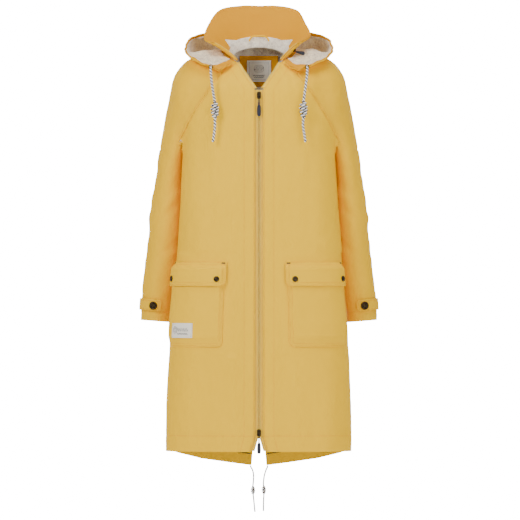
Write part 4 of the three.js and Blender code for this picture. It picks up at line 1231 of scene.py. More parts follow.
def corner_inset(height, radius):
    h = np.minimum(height, radius)
    return radius - np.sqrt(np.maximum(0, radius ** 2 - (radius - h) ** 2))


def patch(side, a, z, lift):
    """A grid laid on the front with its outward normals."""
    grid = on_front(side, a, z)
    normal = grid_normals(grid)
    normal *= -1 if normal[..., 1].mean() > 0 else 1
    return grid + normal * lift[..., None], normal


def rounded_patch(side, top, bottom, start, end, lift, folds, seed, columns=110, rows=100):
    t, s = np.meshgrid(np.linspace(0, 1, rows), np.linspace(0, 1, columns), indexing="ij")
    z = top - (top - bottom) * np.sin(t * math.pi / 2)
    inset = corner_inset(z - bottom, POCKET["corner"])
    a = mix(start + inset, end - inset, s)
    grid, normal = patch(side, a, z, lift(a, z))
    edge = np.minimum.reduce([a - start - inset, end - inset - a, z - bottom])
    relief = -0.55 * np.exp(-((edge - 6) / 1.5) ** 2) - 1.0 * smooth((1.8 - edge) / 1.8)
    wrinkle = noise_values(grid.reshape(-1, 3), (0.03, 0.03, 0.022), seed).reshape(a.shape)
    grid = grid + normal * (relief + folds * wrinkle * smooth(edge / 10))[..., None]
    return grid, normal, a, z


def edge_path(start, end, top, bottom, inset, radius):
    """A and z along the two sides and the foot of a rounded patch, a distance in from its edge."""
    r = max(radius - inset, 2)
    left, right, low = start + inset, end - inset, bottom + inset
    turn = np.linspace(0, math.pi / 2, 10)
    path = [(left, z) for z in np.linspace(top, low + r, 40)]
    path += [(left + r - r * math.cos(t), low + r - r * math.sin(t)) for t in turn]
    path += [(x, low) for x in np.linspace(left + r, right - r, 40)]
    path += [(right - r + r * math.sin(t), low + r - r * math.cos(t)) for t in turn]
    path += [(right, z) for z in np.linspace(low + r, top, 40)]
    return np.array(path)


def laid_path(side, path, lift, extra):
    a, z = path[:, 0], path[:, 1]
    eps = 1.0
    point = on_front(side, a, z)
    du = on_front(side, a + eps, z) - on_front(side, a - eps, z)
    dv = on_front(side, a, z + eps) - on_front(side, a, z - eps)
    normal = np.cross(du, dv)
    normal /= np.linalg.norm(normal, axis=-1, keepdims=True)
    normal *= np.where(normal[:, 1:2] > 0, -1, 1)
    return point + normal * (lift(a, z) + extra)[..., None]


def lathe(profile, steps):
    """Rings of a turned shape about +Z, as a (rows, steps, 3) grid."""
    turn = np.linspace(0, 2 * math.pi, steps, endpoint=False)
    profile = np.asarray(profile, float)
    return np.stack([profile[:, :1] * np.cos(turn), profile[:, :1] * np.sin(turn),
                     np.repeat(profile[:, 1:], steps, axis=1)], axis=-1)


def turned(point, normal, verts):
    """Verts about +Z, stood on a point along a normal."""
    normal = Vector(normal).normalized()
    frame3 = np.array(normal.to_track_quat("Z", "Y").to_matrix())
    return np.asarray(verts) @ frame3.T + np.asarray(point)


def joined(parts):
    verts, faces = [], []
    for more, some in parts:
        faces += [tuple(i + len(verts) for i in f) for f in some]
        verts += list(more)
    return verts, faces


def capped(profile, steps=48):
    return closed_tube(lathe(profile, steps))


SNAP_CAP_PROFILE = [(6.3, 0), (7.0, 0.3), (7.1, 1.0), (6.9, 1.7), (6.3, 2.2), (5.6, 2.3), (5.2, 1.9),
                    (4.7, 1.8), (4.2, 2.2), (3.2, 2.6), (1.6, 2.85), (0.3, 2.9)]


def normal_at(side, a, z, lift):
    here = laid_path(side, np.array([[a, z], [a + 2, z], [a, z + 2]]), lift, 0.0)
    n = np.cross(here[1] - here[0], here[2] - here[0])
    n /= np.linalg.norm(n)
    return here[0], n if n[1] < 0 else -n


for side, name in ((-1, "left"), (1, "right")):
    body = f"{name}_flap"
    grid, normal, a, z = rounded_patch(side, POCKET["top"], POCKET["bottom"], 0.0, POCKET["width"],
                                       pocket_lift, 1.6, 51 + side)
    pocket = as_sheet(grid, normal)
    obj = cloth_piece(f"{name}_pocket_cloth", pocket, POCKET_CLOTH, 0.0, YELLOW, node=f"{name}_pocket",
                      slot="shell_cloth")
    hang(pocket, grid_size(grid))
    lines = [laid_path(side, edge_path(0, POCKET["width"], POCKET["top"] - 6, POCKET["bottom"], d, 13),
                       pocket_lift, POCKET_CLOTH + 0.15) for d in (3.0, 9.0)]
    stitch_piece(f"{name}_pocket_stitches", lines)
    flap_end = POCKET["width"] + FLAP["overhang"]
    low = FLAP["top"] - FLAP["height"]
    grid, normal, a, z = rounded_patch(side, FLAP["top"], low, -FLAP["overhang"], flap_end, flap_lift, 0.7,
                                       61 + side)
    flap = as_sheet(grid, normal)
    obj = cloth_piece(f"{name}_flap_cloth", flap, FLAP_CLOTH, 0.0, YELLOW, body=body,
                      node=f"{name}_pocket_flap", slot="shell_cloth")
    hang(flap, grid_size(grid))
    lines = [laid_path(side, edge_path(-FLAP["overhang"], flap_end, FLAP["top"] - 3, low, d, 13), flap_lift,
                       FLAP_CLOTH + 0.15) for d in (3.0, 9.0)]
    top_rows = [np.array([(x, FLAP["top"] - d) for x in np.linspace(-2, flap_end - 3, 90)])
                for d in (2.5, 8.5)]
    lines += [laid_path(side, row, flap_lift, FLAP_CLOTH + 0.15) for row in top_rows]
    stitch_piece(f"{name}_flap_stitches", lines, body=body)
    bars = [np.array([(x, FLAP["top"] - 2.6 - k * 0.9) for x in (x0, x0 + 9)]) for x0 in (-1.0, flap_end - 11)
            for k in range(4)]
    bars = [laid_path(side, bar, flap_lift, FLAP_CLOTH + 0.35) for bar in bars]
    stitch_piece(f"{name}_flap_bartacks", bars, body=body, pitch=1.1, length=1.6, thickness=0.9,
                 material=NAVY_THREAD)
    for place_name, along in (("inner", 17.0), ("outer", POCKET["width"] - 17.0)):
        point, n = normal_at(side, along, -605.0, flap_lift)
        verts, faces = capped(SNAP_CAP_PROFILE)
        new_piece(f"{name}_{place_name}_snap_cap", place(turned(point + n * (FLAP_CLOTH + 0.2), n, verts)),
                  faces, OLD_BRASS, node=f"{name}_{place_name}_flap_snap_cap", body=body, slot="old_brass")

label_a = np.linspace(70, 127, 40)
label_z = np.linspace(-709, -744, 26)
za, aa = np.meshgrid(label_z, label_a, indexing="ij")
grid, normal = patch(-1, aa, za, pocket_lift(aa, za) + POCKET_CLOTH)
label = as_sheet(grid, normal)
obj = cloth_piece("pocket_label_cloth", label, 2.3, 1.1, LABEL, node="left_pocket_label", slot="label_cloth")
hang(label, grid_size(grid))
pocket_label_top = grid + normal * 2.45
za, aa = np.meshgrid(np.linspace(-726, -738, 10), np.linspace(152, 161, 8), indexing="ij")
tag_grid, tag_normal = patch(1, aa, za, pocket_lift(aa, za) + POCKET_CLOTH)
tag = as_sheet(tag_grid, tag_normal)
obj = cloth_piece("right_pocket_side_tag", tag, 1.5, 0.2, cloth("navy_tag", (34, 38, 52), 0.7),
                  slot="navy_rubber")
hang(tag, (12.5, 10))


# ---------------------------------------------------------------- small solids
def outline_points(sides, half_widths, heights):
    """A closed outline, symmetric about the middle, from half widths at heights."""
    right = np.stack([half_widths, heights], axis=1)
    left = right[::-1] * [-1, 1]
    loop = np.concatenate([right, left])
    loop = np.vstack([loop, loop[:1]])
    walked = distance_along(loop)
    at = np.linspace(0, walked[-1], sides, endpoint=False)
    return np.stack([np.interp(at, walked, loop[:, k]) for k in range(2)], axis=1)


def pillow(outline, depth, round_by, crown=0.0):
    """A plate with rounded edges: the outline in X and Z, the thickness along Y, front at -depth."""
    centre = outline.mean(axis=0)
    reach = np.linalg.norm(outline - centre, axis=1, keepdims=True)
    steps = np.linspace(0, math.pi / 2, 6)
    half = [(-depth + round_by * (1 - math.sin(t)), round_by * (1 - math.cos(t))) for t in steps]
    half = half[::-1] + [(-depth - y, shrink) for y, shrink in half]
    layers = [np.column_stack([(outline - centre) * (1 - shrink / reach) + centre, np.full(len(outline), y)])
              for y, shrink in half]
    grid = np.array(layers)[:, :, [0, 2, 1]]
    inner_front = (grid[0] - [centre[0], 0, centre[1]]) * [0.5, 1, 0.5] + [centre[0], -crown, centre[1]]
    return closed_tube(np.concatenate([inner_front[None], grid]))


def torus(radius, wire, steps=40, sides=12):
    """A ring in the XZ plane."""
    a, b = np.meshgrid(np.linspace(0, 2 * math.pi, steps, endpoint=False),
                       np.linspace(0, 2 * math.pi, sides, endpoint=False), indexing="ij")
    r = radius + wire * np.cos(b)
    grid = np.stack([r * np.cos(a), wire * np.sin(b), r * np.sin(a)], axis=-1)
    faces = [(i * sides + j, ((i + 1) % steps) * sides + j, ((i + 1) % steps) * sides + (j + 1) % sides,
              i * sides + (j + 1) % sides) for i in range(steps) for j in range(sides)]
    return grid.reshape(-1, 3), faces


def tube(path, radius, sides=14, flat=1.0):
    """Rings along a path, with a frame carried along it; flat squeezes one way."""
    path = np.asarray(path, float)
    ahead = np.gradient(path, axis=0)
    ahead /= np.linalg.norm(ahead, axis=1, keepdims=True)
    up = np.cross(ahead[0], [0.3, 1.0, 0.2])
    rings = []
    radii = np.broadcast_to(radius, len(path))
    turn = np.linspace(0, 2 * math.pi, sides, endpoint=False)
    for p, d, r in zip(path, ahead, radii):
        up = up - d * np.dot(up, d)
        up /= np.linalg.norm(up)
        side = np.cross(d, up)
        rings.append(p + r * (np.outer(np.cos(turn), up) + flat * np.outer(np.sin(turn), side)))
    return np.array(rings)


def moved(part, matrix):
    verts, faces = part
    verts = np.asarray(verts) @ np.array(matrix.to_3x3()).T + np.array(matrix.translation)
    return verts, faces


def solid(name, parts, material, node, body=COAT, slot=None):
    verts, faces = joined(parts)
    obj = new_piece(name, place(verts), faces, material, node=node, body=body, slot=slot)
    face_outwards(obj)
    return obj


# ---------------------------------------------------------------- zip
ROW_GAP, TAPE_OUTER, TAPE_DEPTH = 0.9, 18.0, 4.3


def spread_at(z):
    return np.maximum(0, (SPREAD_Z - z) / (SPREAD_Z - FRONT_HEM_Z)) * (FRONT_SPREAD - PLACKET_HALF)


TOOTH = 2.9
for side, name in ((-1, "left"), (1, "right")):
    z, x = np.meshgrid(np.linspace(ZIP_TOP_Z - 2, FRONT_HEM_Z + 2, 420), np.linspace(ROW_GAP, TAPE_OUTER, 22),
                       indexing="ij")
    ribs = 0.18 * np.cos(x * 2.4) * smooth((x - 4) / 2)
    grid = np.stack([side * (x + spread_at(z)), front_edge_y(z) + TAPE_DEPTH - ribs, z], axis=-1)
    normal = np.zeros_like(grid)
    normal[..., 1] = -1
    tape = as_sheet(grid, normal)
    obj = cloth_piece(f"{name}_zip_tape_weave", tape, 0.0, -0.9, TAPE, node=f"{name}_zip_tape",
                      slot="zip_tape")
    hang(tape, grid_size(grid))
    tz = np.arange(ZIP_TOP_Z - 4 - (side < 0) * TOOTH / 2, FRONT_HEM_Z + 4, -TOOTH)
    points = np.stack([side * (1.75 + spread_at(tz)), front_edge_y(tz) + 2.9, tz], axis=1)
    teeth = run_tree(f"{name}_zip_teeth", ZIP_TEETH, place(points), {"along": [(side, 0, 0)] * len(tz)},
                     {"Pitch": TOOTH * MM, "Material": TEETH}, COAT, TEETH)
    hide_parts(f"{name}_zip_row")
    rows = [np.stack([side * (d + spread_at(tz)), front_edge_y(tz) + TAPE_DEPTH - 0.15, tz], axis=1)
            for d in (9.0,)]
    stitch_piece(f"{name}_tape_stitches", rows, thickness=0.5)


def at_front(z):
    tilt = Matrix.Rotation(-math.atan(FRONT_SLOPE), 4, "X")
    tilt.translation = Vector((0, float(front_edge_y(z)), z))
    return tilt


EYE_DEPTH = -1.1
for name, z in (("upper", -150.0), ("lower", -977.0)):
    tilt = at_front(z)
    front_plate = outline_points(48, np.array([0.8, 3.6, 4.9, 5.1, 4.6, 3.9, 3.2, 0.8]),
                                 np.array([8.5, 8.2, 6.2, 2.0, -3.0, -6.5, -8.2, -8.5]))
    plate = pillow(front_plate, 1.3, 0.5, 0.25)
    front_part = moved(plate, Matrix.Translation((0, 1.5, 0)))
    rear_part = moved(pillow(front_plate * 0.92, 1.1, 0.4), Matrix.Translation((0, 6.9, 0)))
    web_outline = outline_points(20, np.array([0.4, 0.6, 0.6, 0.4]), np.array([2.4, 2.0, -2.0, -2.4]))
    web = moved(pillow(web_outline, 5.6, 0.2), Matrix.Translation((0, 6.4, 0)))
    t = np.linspace(0, math.pi, 22)
    arch_line = np.stack([0 * t, 0.3 - 3.6 * np.sin(t) ** 0.7, 4.6 * np.cos(t)], axis=1)
    arch = closed_tube(tube(arch_line, 0.95, 12))
    wall_line = np.array([(4.45, y, height) for y, height in
                          ((1.4, 7.2), (1.5, 4), (1.6, 0), (1.5, -4), (1.4, -7.2))])
    walls = [closed_tube(tube(wall_line * [s, 1, 1], 0.62, 10, 1.5)) for s in (-1, 1)]
    slider = [moved(part, tilt) for part in (front_part, rear_part, web, arch, *walls)]
    solid(f"{name}_slider_body", slider, OLD_BRASS, f"{name}_slider", f"{name}_slider", "old_brass")
    ring = moved(torus(4.4, 0.75), tilt @ Matrix.Translation((0, EYE_DEPTH, -4.4)))
    solid(f"{name}_pull_ring_wire", [ring], OLD_BRASS, f"{name}_pull_ring", f"{name}_pull", "old_brass")
    top = -2 * 4.4 - 1.05
    neck, foot = top - 15, top - 42
    heights = np.array([top, top - 1, neck + 4, neck + 1, neck - 3, neck - 8,
                        foot + 10, foot + 4, foot + 1, foot])
    widths = np.array([1.2, 1.5, 1.6, 2.2, 4.2, 4.8, 5.0, 4.7, 3.2, 0.6])
    grip = pillow(outline_points(96, widths, heights), 3.2, 0.9, 0.2)
    window_outline = outline_points(48, np.array([0.4, 2.0, 2.4, 2.0, 0.4]),
                                    neck - np.array([7, 9, 14, 20, 22.0]))
    window = moved(pillow(window_outline, 0.8, 0.3), Matrix.Translation((0, -1.45, 0)))
    collar_ring = closed_tube(lathe([(1.9, 0), (2.3, 0.4), (2.3, 2.2), (1.9, 2.6)], 20))
    collar_ring = moved(collar_ring, Matrix.Translation((0, 0, neck + 4)))
    grip_at = tilt @ Matrix.Translation((0, EYE_DEPTH, 0))
    grip = moved(grip, Matrix.Translation((0, 1.6, 0)))
    solid(f"{name}_pull_grip_moulded", [moved(p, grip_at) for p in (grip, window, collar_ring)], NAVY,
          f"{name}_pull_grip", f"{name}_pull", "navy_rubber")

# the flap of cloth behind the zip
z, x = np.meshgrid(np.linspace(ZIP_TOP_Z - 8, SPREAD_Z, 260), np.linspace(-8, 40, 26), indexing="ij")


def front_angle(x, z, inset):
    half = np.interp(-z, [135, 195, 280, 370, 455, 550, 705, 845, 960, 1090],
                     [181, 187, 187, 191, 196, 203, 217, 223, 228, 228]) - inset
    return -np.arccos(np.sign(x) * (np.abs(x) / half) ** 1.3)


def front_level(z):
    return np.interp(-z, [135, 195, 280, 370, 455, 550, 705, 845, 960, 1090], np.arange(3, 13))


strip = body_point(front_angle(x, z, 7.0), front_level(z), 7.0)
normal = grid_normals(strip)
normal *= -1 if normal[..., 1].mean() > 0 else 1
wind_flap = as_sheet(strip, normal)
obj = cloth_piece("wind_flap_cloth", wind_flap, -1.3, -2.7, FACING_YELLOW, node="wind_flap",
                  slot="facing_cloth")
hang(wind_flap, grid_size(strip))

# ---------------------------------------------------------------- back neck, loop and hood trims
inner_sheet = body_sheet(5.0, LINING_IN + 0.4)
INNER = tri_tree(inner_sheet.points, inner_sheet.tris)


def inside_back(x, z):
    out = np.empty(x.shape + (3,))
    for k in np.ndindex(x.shape):
        hit = INNER.ray_cast(Vector((x[k], 0, z[k])), Vector((0, 1, 0)))[0]
        out[k] = hit if hit is not None else (x[k], 74.0, z[k])
    return out


def back_patch(name, half, top, bottom, taper, lift, thickness, material, node, slot):
    s, t = np.meshgrid(np.linspace(-1, 1, 60), np.linspace(0, 1, 56), indexing="xy")
    x = s * half * (1 - taper * t * t)
    z = mix(top, bottom, t)
    grid = inside_back(x, z)
    normal = grid_normals(grid)
    normal *= -1 if normal[..., 1].mean() > 0 else 1
    sheet = as_sheet(grid, normal)
    obj = cloth_piece(name, sheet, lift + thickness, lift, material, node=node, slot=slot)
    hang(sheet, grid_size(grid))
    return grid + normal * (lift + thickness + 0.1)


patch_top = back_patch("back_neck_patch_cloth", 48, -48, -124, 0.3, 1.2, 0.9, FACING_YELLOW,
                       "back_neck_patch", "facing_cloth")
stitch_piece("back_neck_patch_stitches", [patch_top[2:-3, 2], patch_top[2:-3, -3], patch_top[-3, 2:-2],
                                          patch_top[2, 2:-2]], length=2.4)
label_top = back_patch("neck_label_cloth", 30.5, -58.5, -112.5, 0, 3.0, 0.7, LABEL, "neck_label",
                       "label_cloth")
border = [label_top[5:-5, 6], label_top[5:-5, -7], label_top[6, 5:-5], label_top[-7, 5:-5]]
stitch_piece("neck_label_border", border, pitch=1.5, length=1.4, thickness=0.6, material=NAVY_THREAD)


def motif(grid, lines, lift=0.1):
    """Lines given as column and row fractions of a grid, as points on it."""
    rows, cols = grid.shape[:2]
    out = []
    for line in lines:
        line = np.asarray(line, float)
        i = np.clip((line[:, 1] * (rows - 1)).round().astype(int), 0, rows - 1)
        j = np.clip((line[:, 0] * (cols - 1)).round().astype(int), 0, cols - 1)
        out.append(grid[i, j] + [0, -lift, 0])
    return out


def ring_line(cx, cy, rx, ry, steps=30):
    a = np.linspace(0, 2 * math.pi, steps)
    return np.stack([cx + rx * np.cos(a), cy + ry * np.sin(a)], axis=1)


def ripple_line(x0, x1, y, height, waves, steps=60):
    t = np.linspace(0, 1, steps)
    return np.stack([mix(x0, x1, t), y + height * np.sin(t * waves * 2 * math.pi)], axis=1)


marks = [ring_line(0.5, 0.38, 0.2, 0.17), ring_line(0.5, 0.38, 0.13, 0.11),
         ripple_line(0.3, 0.7, 0.38, 0.05, 3), ripple_line(0.25, 0.75, 0.7, 0.02, 6),
         ripple_line(0.3, 0.7, 0.78, 0.02, 5)]
pocket_marks = [ring_line(0.8, 0.45, 0.1, 0.22), ring_line(0.8, 0.45, 0.05, 0.12),
                ripple_line(0.2, 0.68, 0.45, 0.1, 5), ripple_line(0.2, 0.68, 0.72, 0.03, 6)]
frame_line = [(0.05, 0.08), (0.95, 0.08), (0.95, 0.92), (0.05, 0.92), (0.05, 0.08)]
stitch_piece("pocket_label_motif", motif(pocket_label_top, pocket_marks), pitch=1.2, length=1.4,
             thickness=0.9, material=NAVY_THREAD)
stitch_piece("pocket_label_border", motif(pocket_label_top, [frame_line]), pitch=2.0, length=1.7,
             thickness=0.5, material=NAVY_THREAD)
stitch_piece("neck_label_motif", motif(label_top, marks), pitch=1.3, length=1.5, thickness=0.9,
             material=NAVY_THREAD)
t = np.linspace(0, 1, 60)
loop_line = spline([(-24, 63, -13), (-22.5, 62.6, -8), (-16, 62.2, -1.7), (0, 62, -0.2), (16, 62.2, -1.7),
                    (22.5, 62.6, -8), (24, 63, -13)], t)
solid("hang_loop_strap", [closed_tube(tube(loop_line, 1.95, 16))], YELLOW, "hang_loop", slot="shell_cloth")
for side, name in ((-1, "left"), (1, "right")):
    eye = moved(torus(4.6, 1.0, 48, 14), Matrix.Translation((118 * side, -103, -80)))
    solid(f"{name}_hood_eyelet_ring", [eye], OLD_BRASS, f"{name}_hood_eyelet", slot="old_brass")

zip_point, zip_ahead, zip_above = (collar_grid(np.array([[along]]), np.array([[up]]))[0, 0]
                                   for along, up in ((0.95, 0.42), (0.97, 0.42), (0.95, 0.45)))
du, dv = zip_ahead - zip_point, zip_above - zip_point
zip_normal = np.cross(dv, du)
zip_normal /= np.linalg.norm(zip_normal)
slider_outline = outline_points(36, np.array([0.8, 2.6, 3.0, 2.6, 0.8]), np.array([4.5, 4, 0, -4, -4.5]))
slider_shape = pillow(slider_outline, 2.8, 0.8)
turn = Vector((0, -1, 0)).rotation_difference(Vector(zip_normal)).to_matrix().to_4x4()


def node_box(name):
    """A CAD node's box in drafting millimetres."""
    return [np.array(corner) / MM + np.array([0, LOOP_Y, 0]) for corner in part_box(name)[:2]]


slider_at = sum(node_box("hood_zip_slider")) / 2
shift = Matrix.Translation(Vector(slider_at)) @ turn @ Matrix.Translation((0, 1.4, 0))
solid("hood_zip_slider_body", [moved(slider_shape, shift)], OLD_BRASS, "hood_zip_slider", slot="old_brass")
low, high = node_box("hood_zip_puller")
heights = np.array([0, 1.5, 5, 10, 16, 20, 23, 24.0])
widths = np.array([1.0, 1.6, 2.2, 3.2, 4.6, 5.0, 3.6, 0.8])
drop = pillow(outline_points(72, widths, heights), 2.2, 0.8, 0.3)
pitch = Matrix.Rotation(math.radians(12), 4, "Y") @ Matrix.Rotation(math.radians(90), 4, "Y")
base = Vector((low[0], (low[1] + high[1]) / 2, high[2] - 1.6))
drop = moved(drop, Matrix.Translation(base) @ pitch @ Matrix.Translation((0, 1.1, 0)))
solid("hood_zip_puller_drop", [drop], NAVY, "hood_zip_puller", "hood_zip_pull", "navy_rubber")

# ---------------------------------------------------------------- cuff tabs
TAB_FROM, TAB_TO, BUTTON_ANGLE = math.radians(30), math.radians(-104), math.radians(-79)
TAB_MIDDLE_Z, TAB_HEIGHT, TAB_LENGTH, TAB_CLOTH, TAB_CLEAR = -662.5, 35.0, 100.0, 2.6, 2.8


def cuff_level(z):
    return 10 + (-600.0 - z) / 68.0


def tab_lift(u):
    return mix(LAY, TAB_CLEAR, smooth(u / 0.35))


def tab_grid(side, u, v):
    half = TAB_HEIGHT / 2 - corner_inset((1 - u) * TAB_LENGTH, 9)
    z = TAB_MIDDLE_Z + (2 * v - 1) * half
    return sleeve_point(side, mix(TAB_FROM, TAB_TO, u), cuff_level(z))


def beyond_sleeve(grid, side):
    normal = grid_normals(grid)
    centre = grid.mean(axis=(0, 1)) * [1, 0, 1] + [-side * 40.0, 56, 0]
    return outward(grid, normal, centre)


BUTTON_PROFILE = [(9.2, 0), (10.0, 0.5), (10.2, 1.6), (9.9, 2.7), (9.0, 3.2), (8.2, 3.0), (7.8, 1.9),
                  (3.4, 1.9), (3.1, 3.0), (2.4, 3.6), (0.3, 3.8)]


def spokes():
    """Ten curved ribs on a button's face."""
    parts = []
    for k in range(10):
        a = 2 * math.pi * k / 10
        r = np.linspace(2.6, 8.2, 8)
        turn = a + (r - 3) * 0.09
        height = 3.3 + 0.4 * np.sin((r - 3) / 5 * math.pi)
        line = np.stack([r * np.cos(turn), r * np.sin(turn), height], axis=1)
        parts.append(closed_tube(tube(line, 0.62, 8)))
    return parts


for side, name in ((-1, "left"), (1, "right")):
    body = f"{name}_tab"
    u, v = np.meshgrid(np.linspace(0, 1, 110), np.linspace(0, 1, 34), indexing="ij")
    grid = tab_grid(side, u, v)
    normal = beyond_sleeve(grid, side)
    edge = np.minimum(np.minimum(v, 1 - v) * TAB_HEIGHT, (1 - u) * TAB_LENGTH)
    relief = -0.5 * np.exp(-((edge - 5) / 1.3) ** 2) - 0.9 * smooth((1.6 - edge) / 1.6)
    grid_out = grid + normal * (tab_lift(u))[..., None]
    tab = as_sheet(grid_out, normal)
    obj = cloth_piece(f"{name}_cuff_tab_cloth", tab, (TAB_CLOTH + relief).ravel(), 0.0, SLEEVE_YELLOW,
                      body=body, node=f"{name}_cuff_tab", slot="sleeve_cloth")
    hang(tab, grid_size(grid_out))
    top = grid_out + normal * (TAB_CLOTH + 0.05)
    inset = 4
    loop = list(top[4:-6, inset]) + list(top[-6, inset:-inset]) + list(top[4:-6, -inset - 1][::-1])
    stitch_piece(f"{name}_cuff_tab_stitches", [loop], body=body)
    level = float(cuff_level(TAB_MIDDLE_Z))
    point = sleeve_point(side, np.array(BUTTON_ANGLE), np.array(level))
    da = sleeve_point(side, np.array(BUTTON_ANGLE + 0.05), np.array(level)) - point
    dz = sleeve_point(side, np.array(BUTTON_ANGLE), np.array(level + 0.1)) - point
    n = np.cross(da, dz)
    n = n / np.linalg.norm(n) * (1 if n[1] < 0 else -1)
    rimmed = capped(BUTTON_PROFILE, 56)
    verts, faces = joined([rimmed] + spokes())
    verts = place(turned(point + n * (TAB_CLEAR + TAB_CLOTH + 0.2), n, verts))
    button = new_piece(f"{name}_cuff_button_cap", verts, faces, OLD_BRASS, node=f"{name}_cuff_button",
                       body=body, slot="old_brass")
    face_outwards(button)

# ---------------------------------------------------------------- stitching on the shell
for side, name in ((-1, "left"), (1, "right")):
    panel = SHELLS[f"front_{name}"]
    lines = []
    for d in (3.0, FACING_WIDTH):
        lines += contour(panel, lambda p, d=d: np.abs(p[:, 0]) - opening_half(p[:, 2]) - d)
    lines += contour(panel, lambda p: p[:, 2] - FRONT_HEM_Z - HEM_DEPTH)
    above = panel.keep(lambda p: p[:, 2] - UNDERARM_Z - 8)
    lines += contour(above, lambda p: past_raglan(p) + 4)
    stitch_piece(f"front_{name}_stitches", lines)
    arm = SHELLS[f"{name}_sleeve"]
    lines = contour(arm, lambda p: p[:, 2] - CUFF_STITCH_Z - 2)
    above = arm.keep(lambda p: p[:, 2] - UNDERARM_Z - 8)
    lines += contour(above, lambda p: past_raglan(p) - 5)
    lines += contour(SHELLS[f"{name}_shoulder"], lambda p: past_raglan(p) - 5)
    stitch_piece(f"{name}_sleeve_stitches", lines)
lines = contour(SHELLS["back"], lambda p: p[:, 2] - tail_z(p[:, 0]) - HEM_DEPTH)
lines += contour(SHELLS["back"], lambda p: np.abs(p[:, 0]) - vent_half(p[:, 2]) - 6)
stitch_piece("back_stitches", lines)
hood_rows_out = [hood[3:-3, 91] - hood_up[3:-3, 91] * 2.6]
stitch_piece("hood_stitches", hood_rows_out)

BACK_INSIDE = Surface(SHELLS["back"], -SHELL_CLOTH)
for side in (-1, 1):
    name = "left" if side < 0 else "right"
    ends = np.linspace(0, 1, 30)
    path = [(side * mix(84, 20.5, k), -1024 - 10.5 * k ** 0.7) for k in ends]
    line = BACK_INSIDE.lay(path, -0.6, back=True)
    solid(f"{name}_tail_piping", [closed_tube(tube(line, 1.3, 12))], NAVY, None, slot="navy_rubber")


def edge_tape(name, line, ahead, width, thickness, material):
    """A narrow band that follows an edge, lying towards a second line beside it."""
    line, ahead = np.asarray(line), np.asarray(ahead)
    across = ahead - line
    across /= np.linalg.norm(across, axis=1, keepdims=True)
    steps = np.linspace(0, width, 8)
    grid = line[:, None, :] + across[:, None, :] * steps[None, :, None]
    normal = grid_normals(grid)
    normal *= -1 if normal[..., 1].mean() > 0 else 1
    sheet = as_sheet(grid, normal)
    obj = cloth_piece(name, sheet, thickness, 0.0, material, slot="zip_tape")
    length, wide = grid_size(grid)
    hang(sheet, (length, max(wide, 10.0)))
    return grid, normal


for side, name in ((-1, "left"), (1, "right")):
    k, step = (0, 1) if side < 0 else (-1, -1)
    line = inner_face[k, 2:-3] + into_neck[k, 2:-3] * 0.2
    ahead = inner_face[k + 8 * step, 2:-3] + into_neck[k + 8 * step, 2:-3] * 0.2
    grid, normal = edge_tape(f"{name}_collar_zip_tape", line, ahead, 9.0, 0.8, TAPE)
    points, along = resample(grid[:, 0] + normal[:, 0] * 1.2, TOOTH)
    sideways = np.tile((grid[:, -1] - grid[:, 0]).mean(axis=0), (len(points), 1))
    teeth = run_tree(f"{name}_collar_zip_teeth", ZIP_TEETH, place(points), {"along": sideways},
                     {"Pitch": TOOTH * 0.9 * MM, "Material": TEETH}, COAT, TEETH)
    panel = SHELLS[f"front_{name}"].keep(lambda p: p[:, 2] - ZIP_TOP_Z - 2)
    edge = max(contour(panel, lambda p: np.abs(p[:, 0]) - opening_half(p[:, 2]) - 0.4, -2.4), key=len)
    edge = np.array(edge)
    edge = edge[np.argsort(edge[:, 2])]
    inward = edge + [-side * 6.0, 1.5, -1.0]
    grid, normal = edge_tape(f"{name}_neck_zip_tape", resample(edge, 3.0)[0], resample(inward, 3.0)[0],
                             8.0, 0.8, TAPE)
    points, along = resample(grid[:, -1] + normal[:, -1] * 1.2, TOOTH)
    sideways = np.tile((grid[:, 0] - grid[:, -1]).mean(axis=0), (len(points), 1))
    teeth = run_tree(f"{name}_neck_zip_teeth", ZIP_TEETH, place(points), {"along": sideways},
                     {"Pitch": TOOTH * 0.9 * MM, "Material": TEETH}, COAT, TEETH)

for obj in bpy.data.objects:
    if obj.name.endswith("_stud"):
        for slot in obj.material_slots:
            slot.material = OLD_BRASS

# ---------------------------------------------------------------- drawcords
CORDS = {
    "left_hood": (6.2, [(-118, -105, -80), (-118.3, -110.5, -81.5), (-118.3, -116, -86), (-118, -121, -95),
                        (-117, -125, -108), (-115, -128, -125), (-112, -130, -145), (-109, -131, -162),
                        (-108, -131, -174), (-108, -131, -187), (-108, -131, -200), (-108, -131, -210),
                        (-108, -131, -226), (-110, -131, -246), (-113, -131, -265)], 9),
    "right_hood": (6.2, [(118, -105, -80), (118.3, -110.5, -81.5), (118.3, -116, -86), (118, -121, -95),
                         (117, -125, -108), (115, -128, -125), (112, -130, -145), (110, -131, -160),
                         (109, -131, -172), (109, -131, -185), (109, -131, -198), (108.5, -131, -209),
                         (108, -131, -226), (111, -131, -246), (114, -131, -265)], 9),
    "left_hem": (3.8, [(-21, 148.5, -1064.4), (-20, 148.8, -1069), (-16, 149.5, -1076), (-13.5, 150, -1088),
                       (-14, 150, -1103), (-15, 150, -1115), (-15, 150, -1126), (-14.5, 150, -1137),
                       (-13, 150, -1150), (-11.5, 150, -1165), (-10, 150, -1180)], 6),
    "right_hem": (3.8, [(21, 148.5, -1064.4), (20.5, 148.8, -1069), (17, 149.5, -1077), (13, 150, -1091),
                        (11, 150, -1108), (11.5, 150, -1117), (12, 150, -1125), (12, 150, -1136),
                        (11.5, 150, -1150), (11, 150, -1164), (11, 150, -1178)], 6)}
HOOD_CORD_LOOK = twisted_cord("hood_cord", (250, 248, 244), (8, 12, 34), 62.0, 0.0062)
HEM_CORD_LOOK = twisted_cord("hem_cord", (244, 242, 238), (8, 12, 34), 80.0, 0.0038)


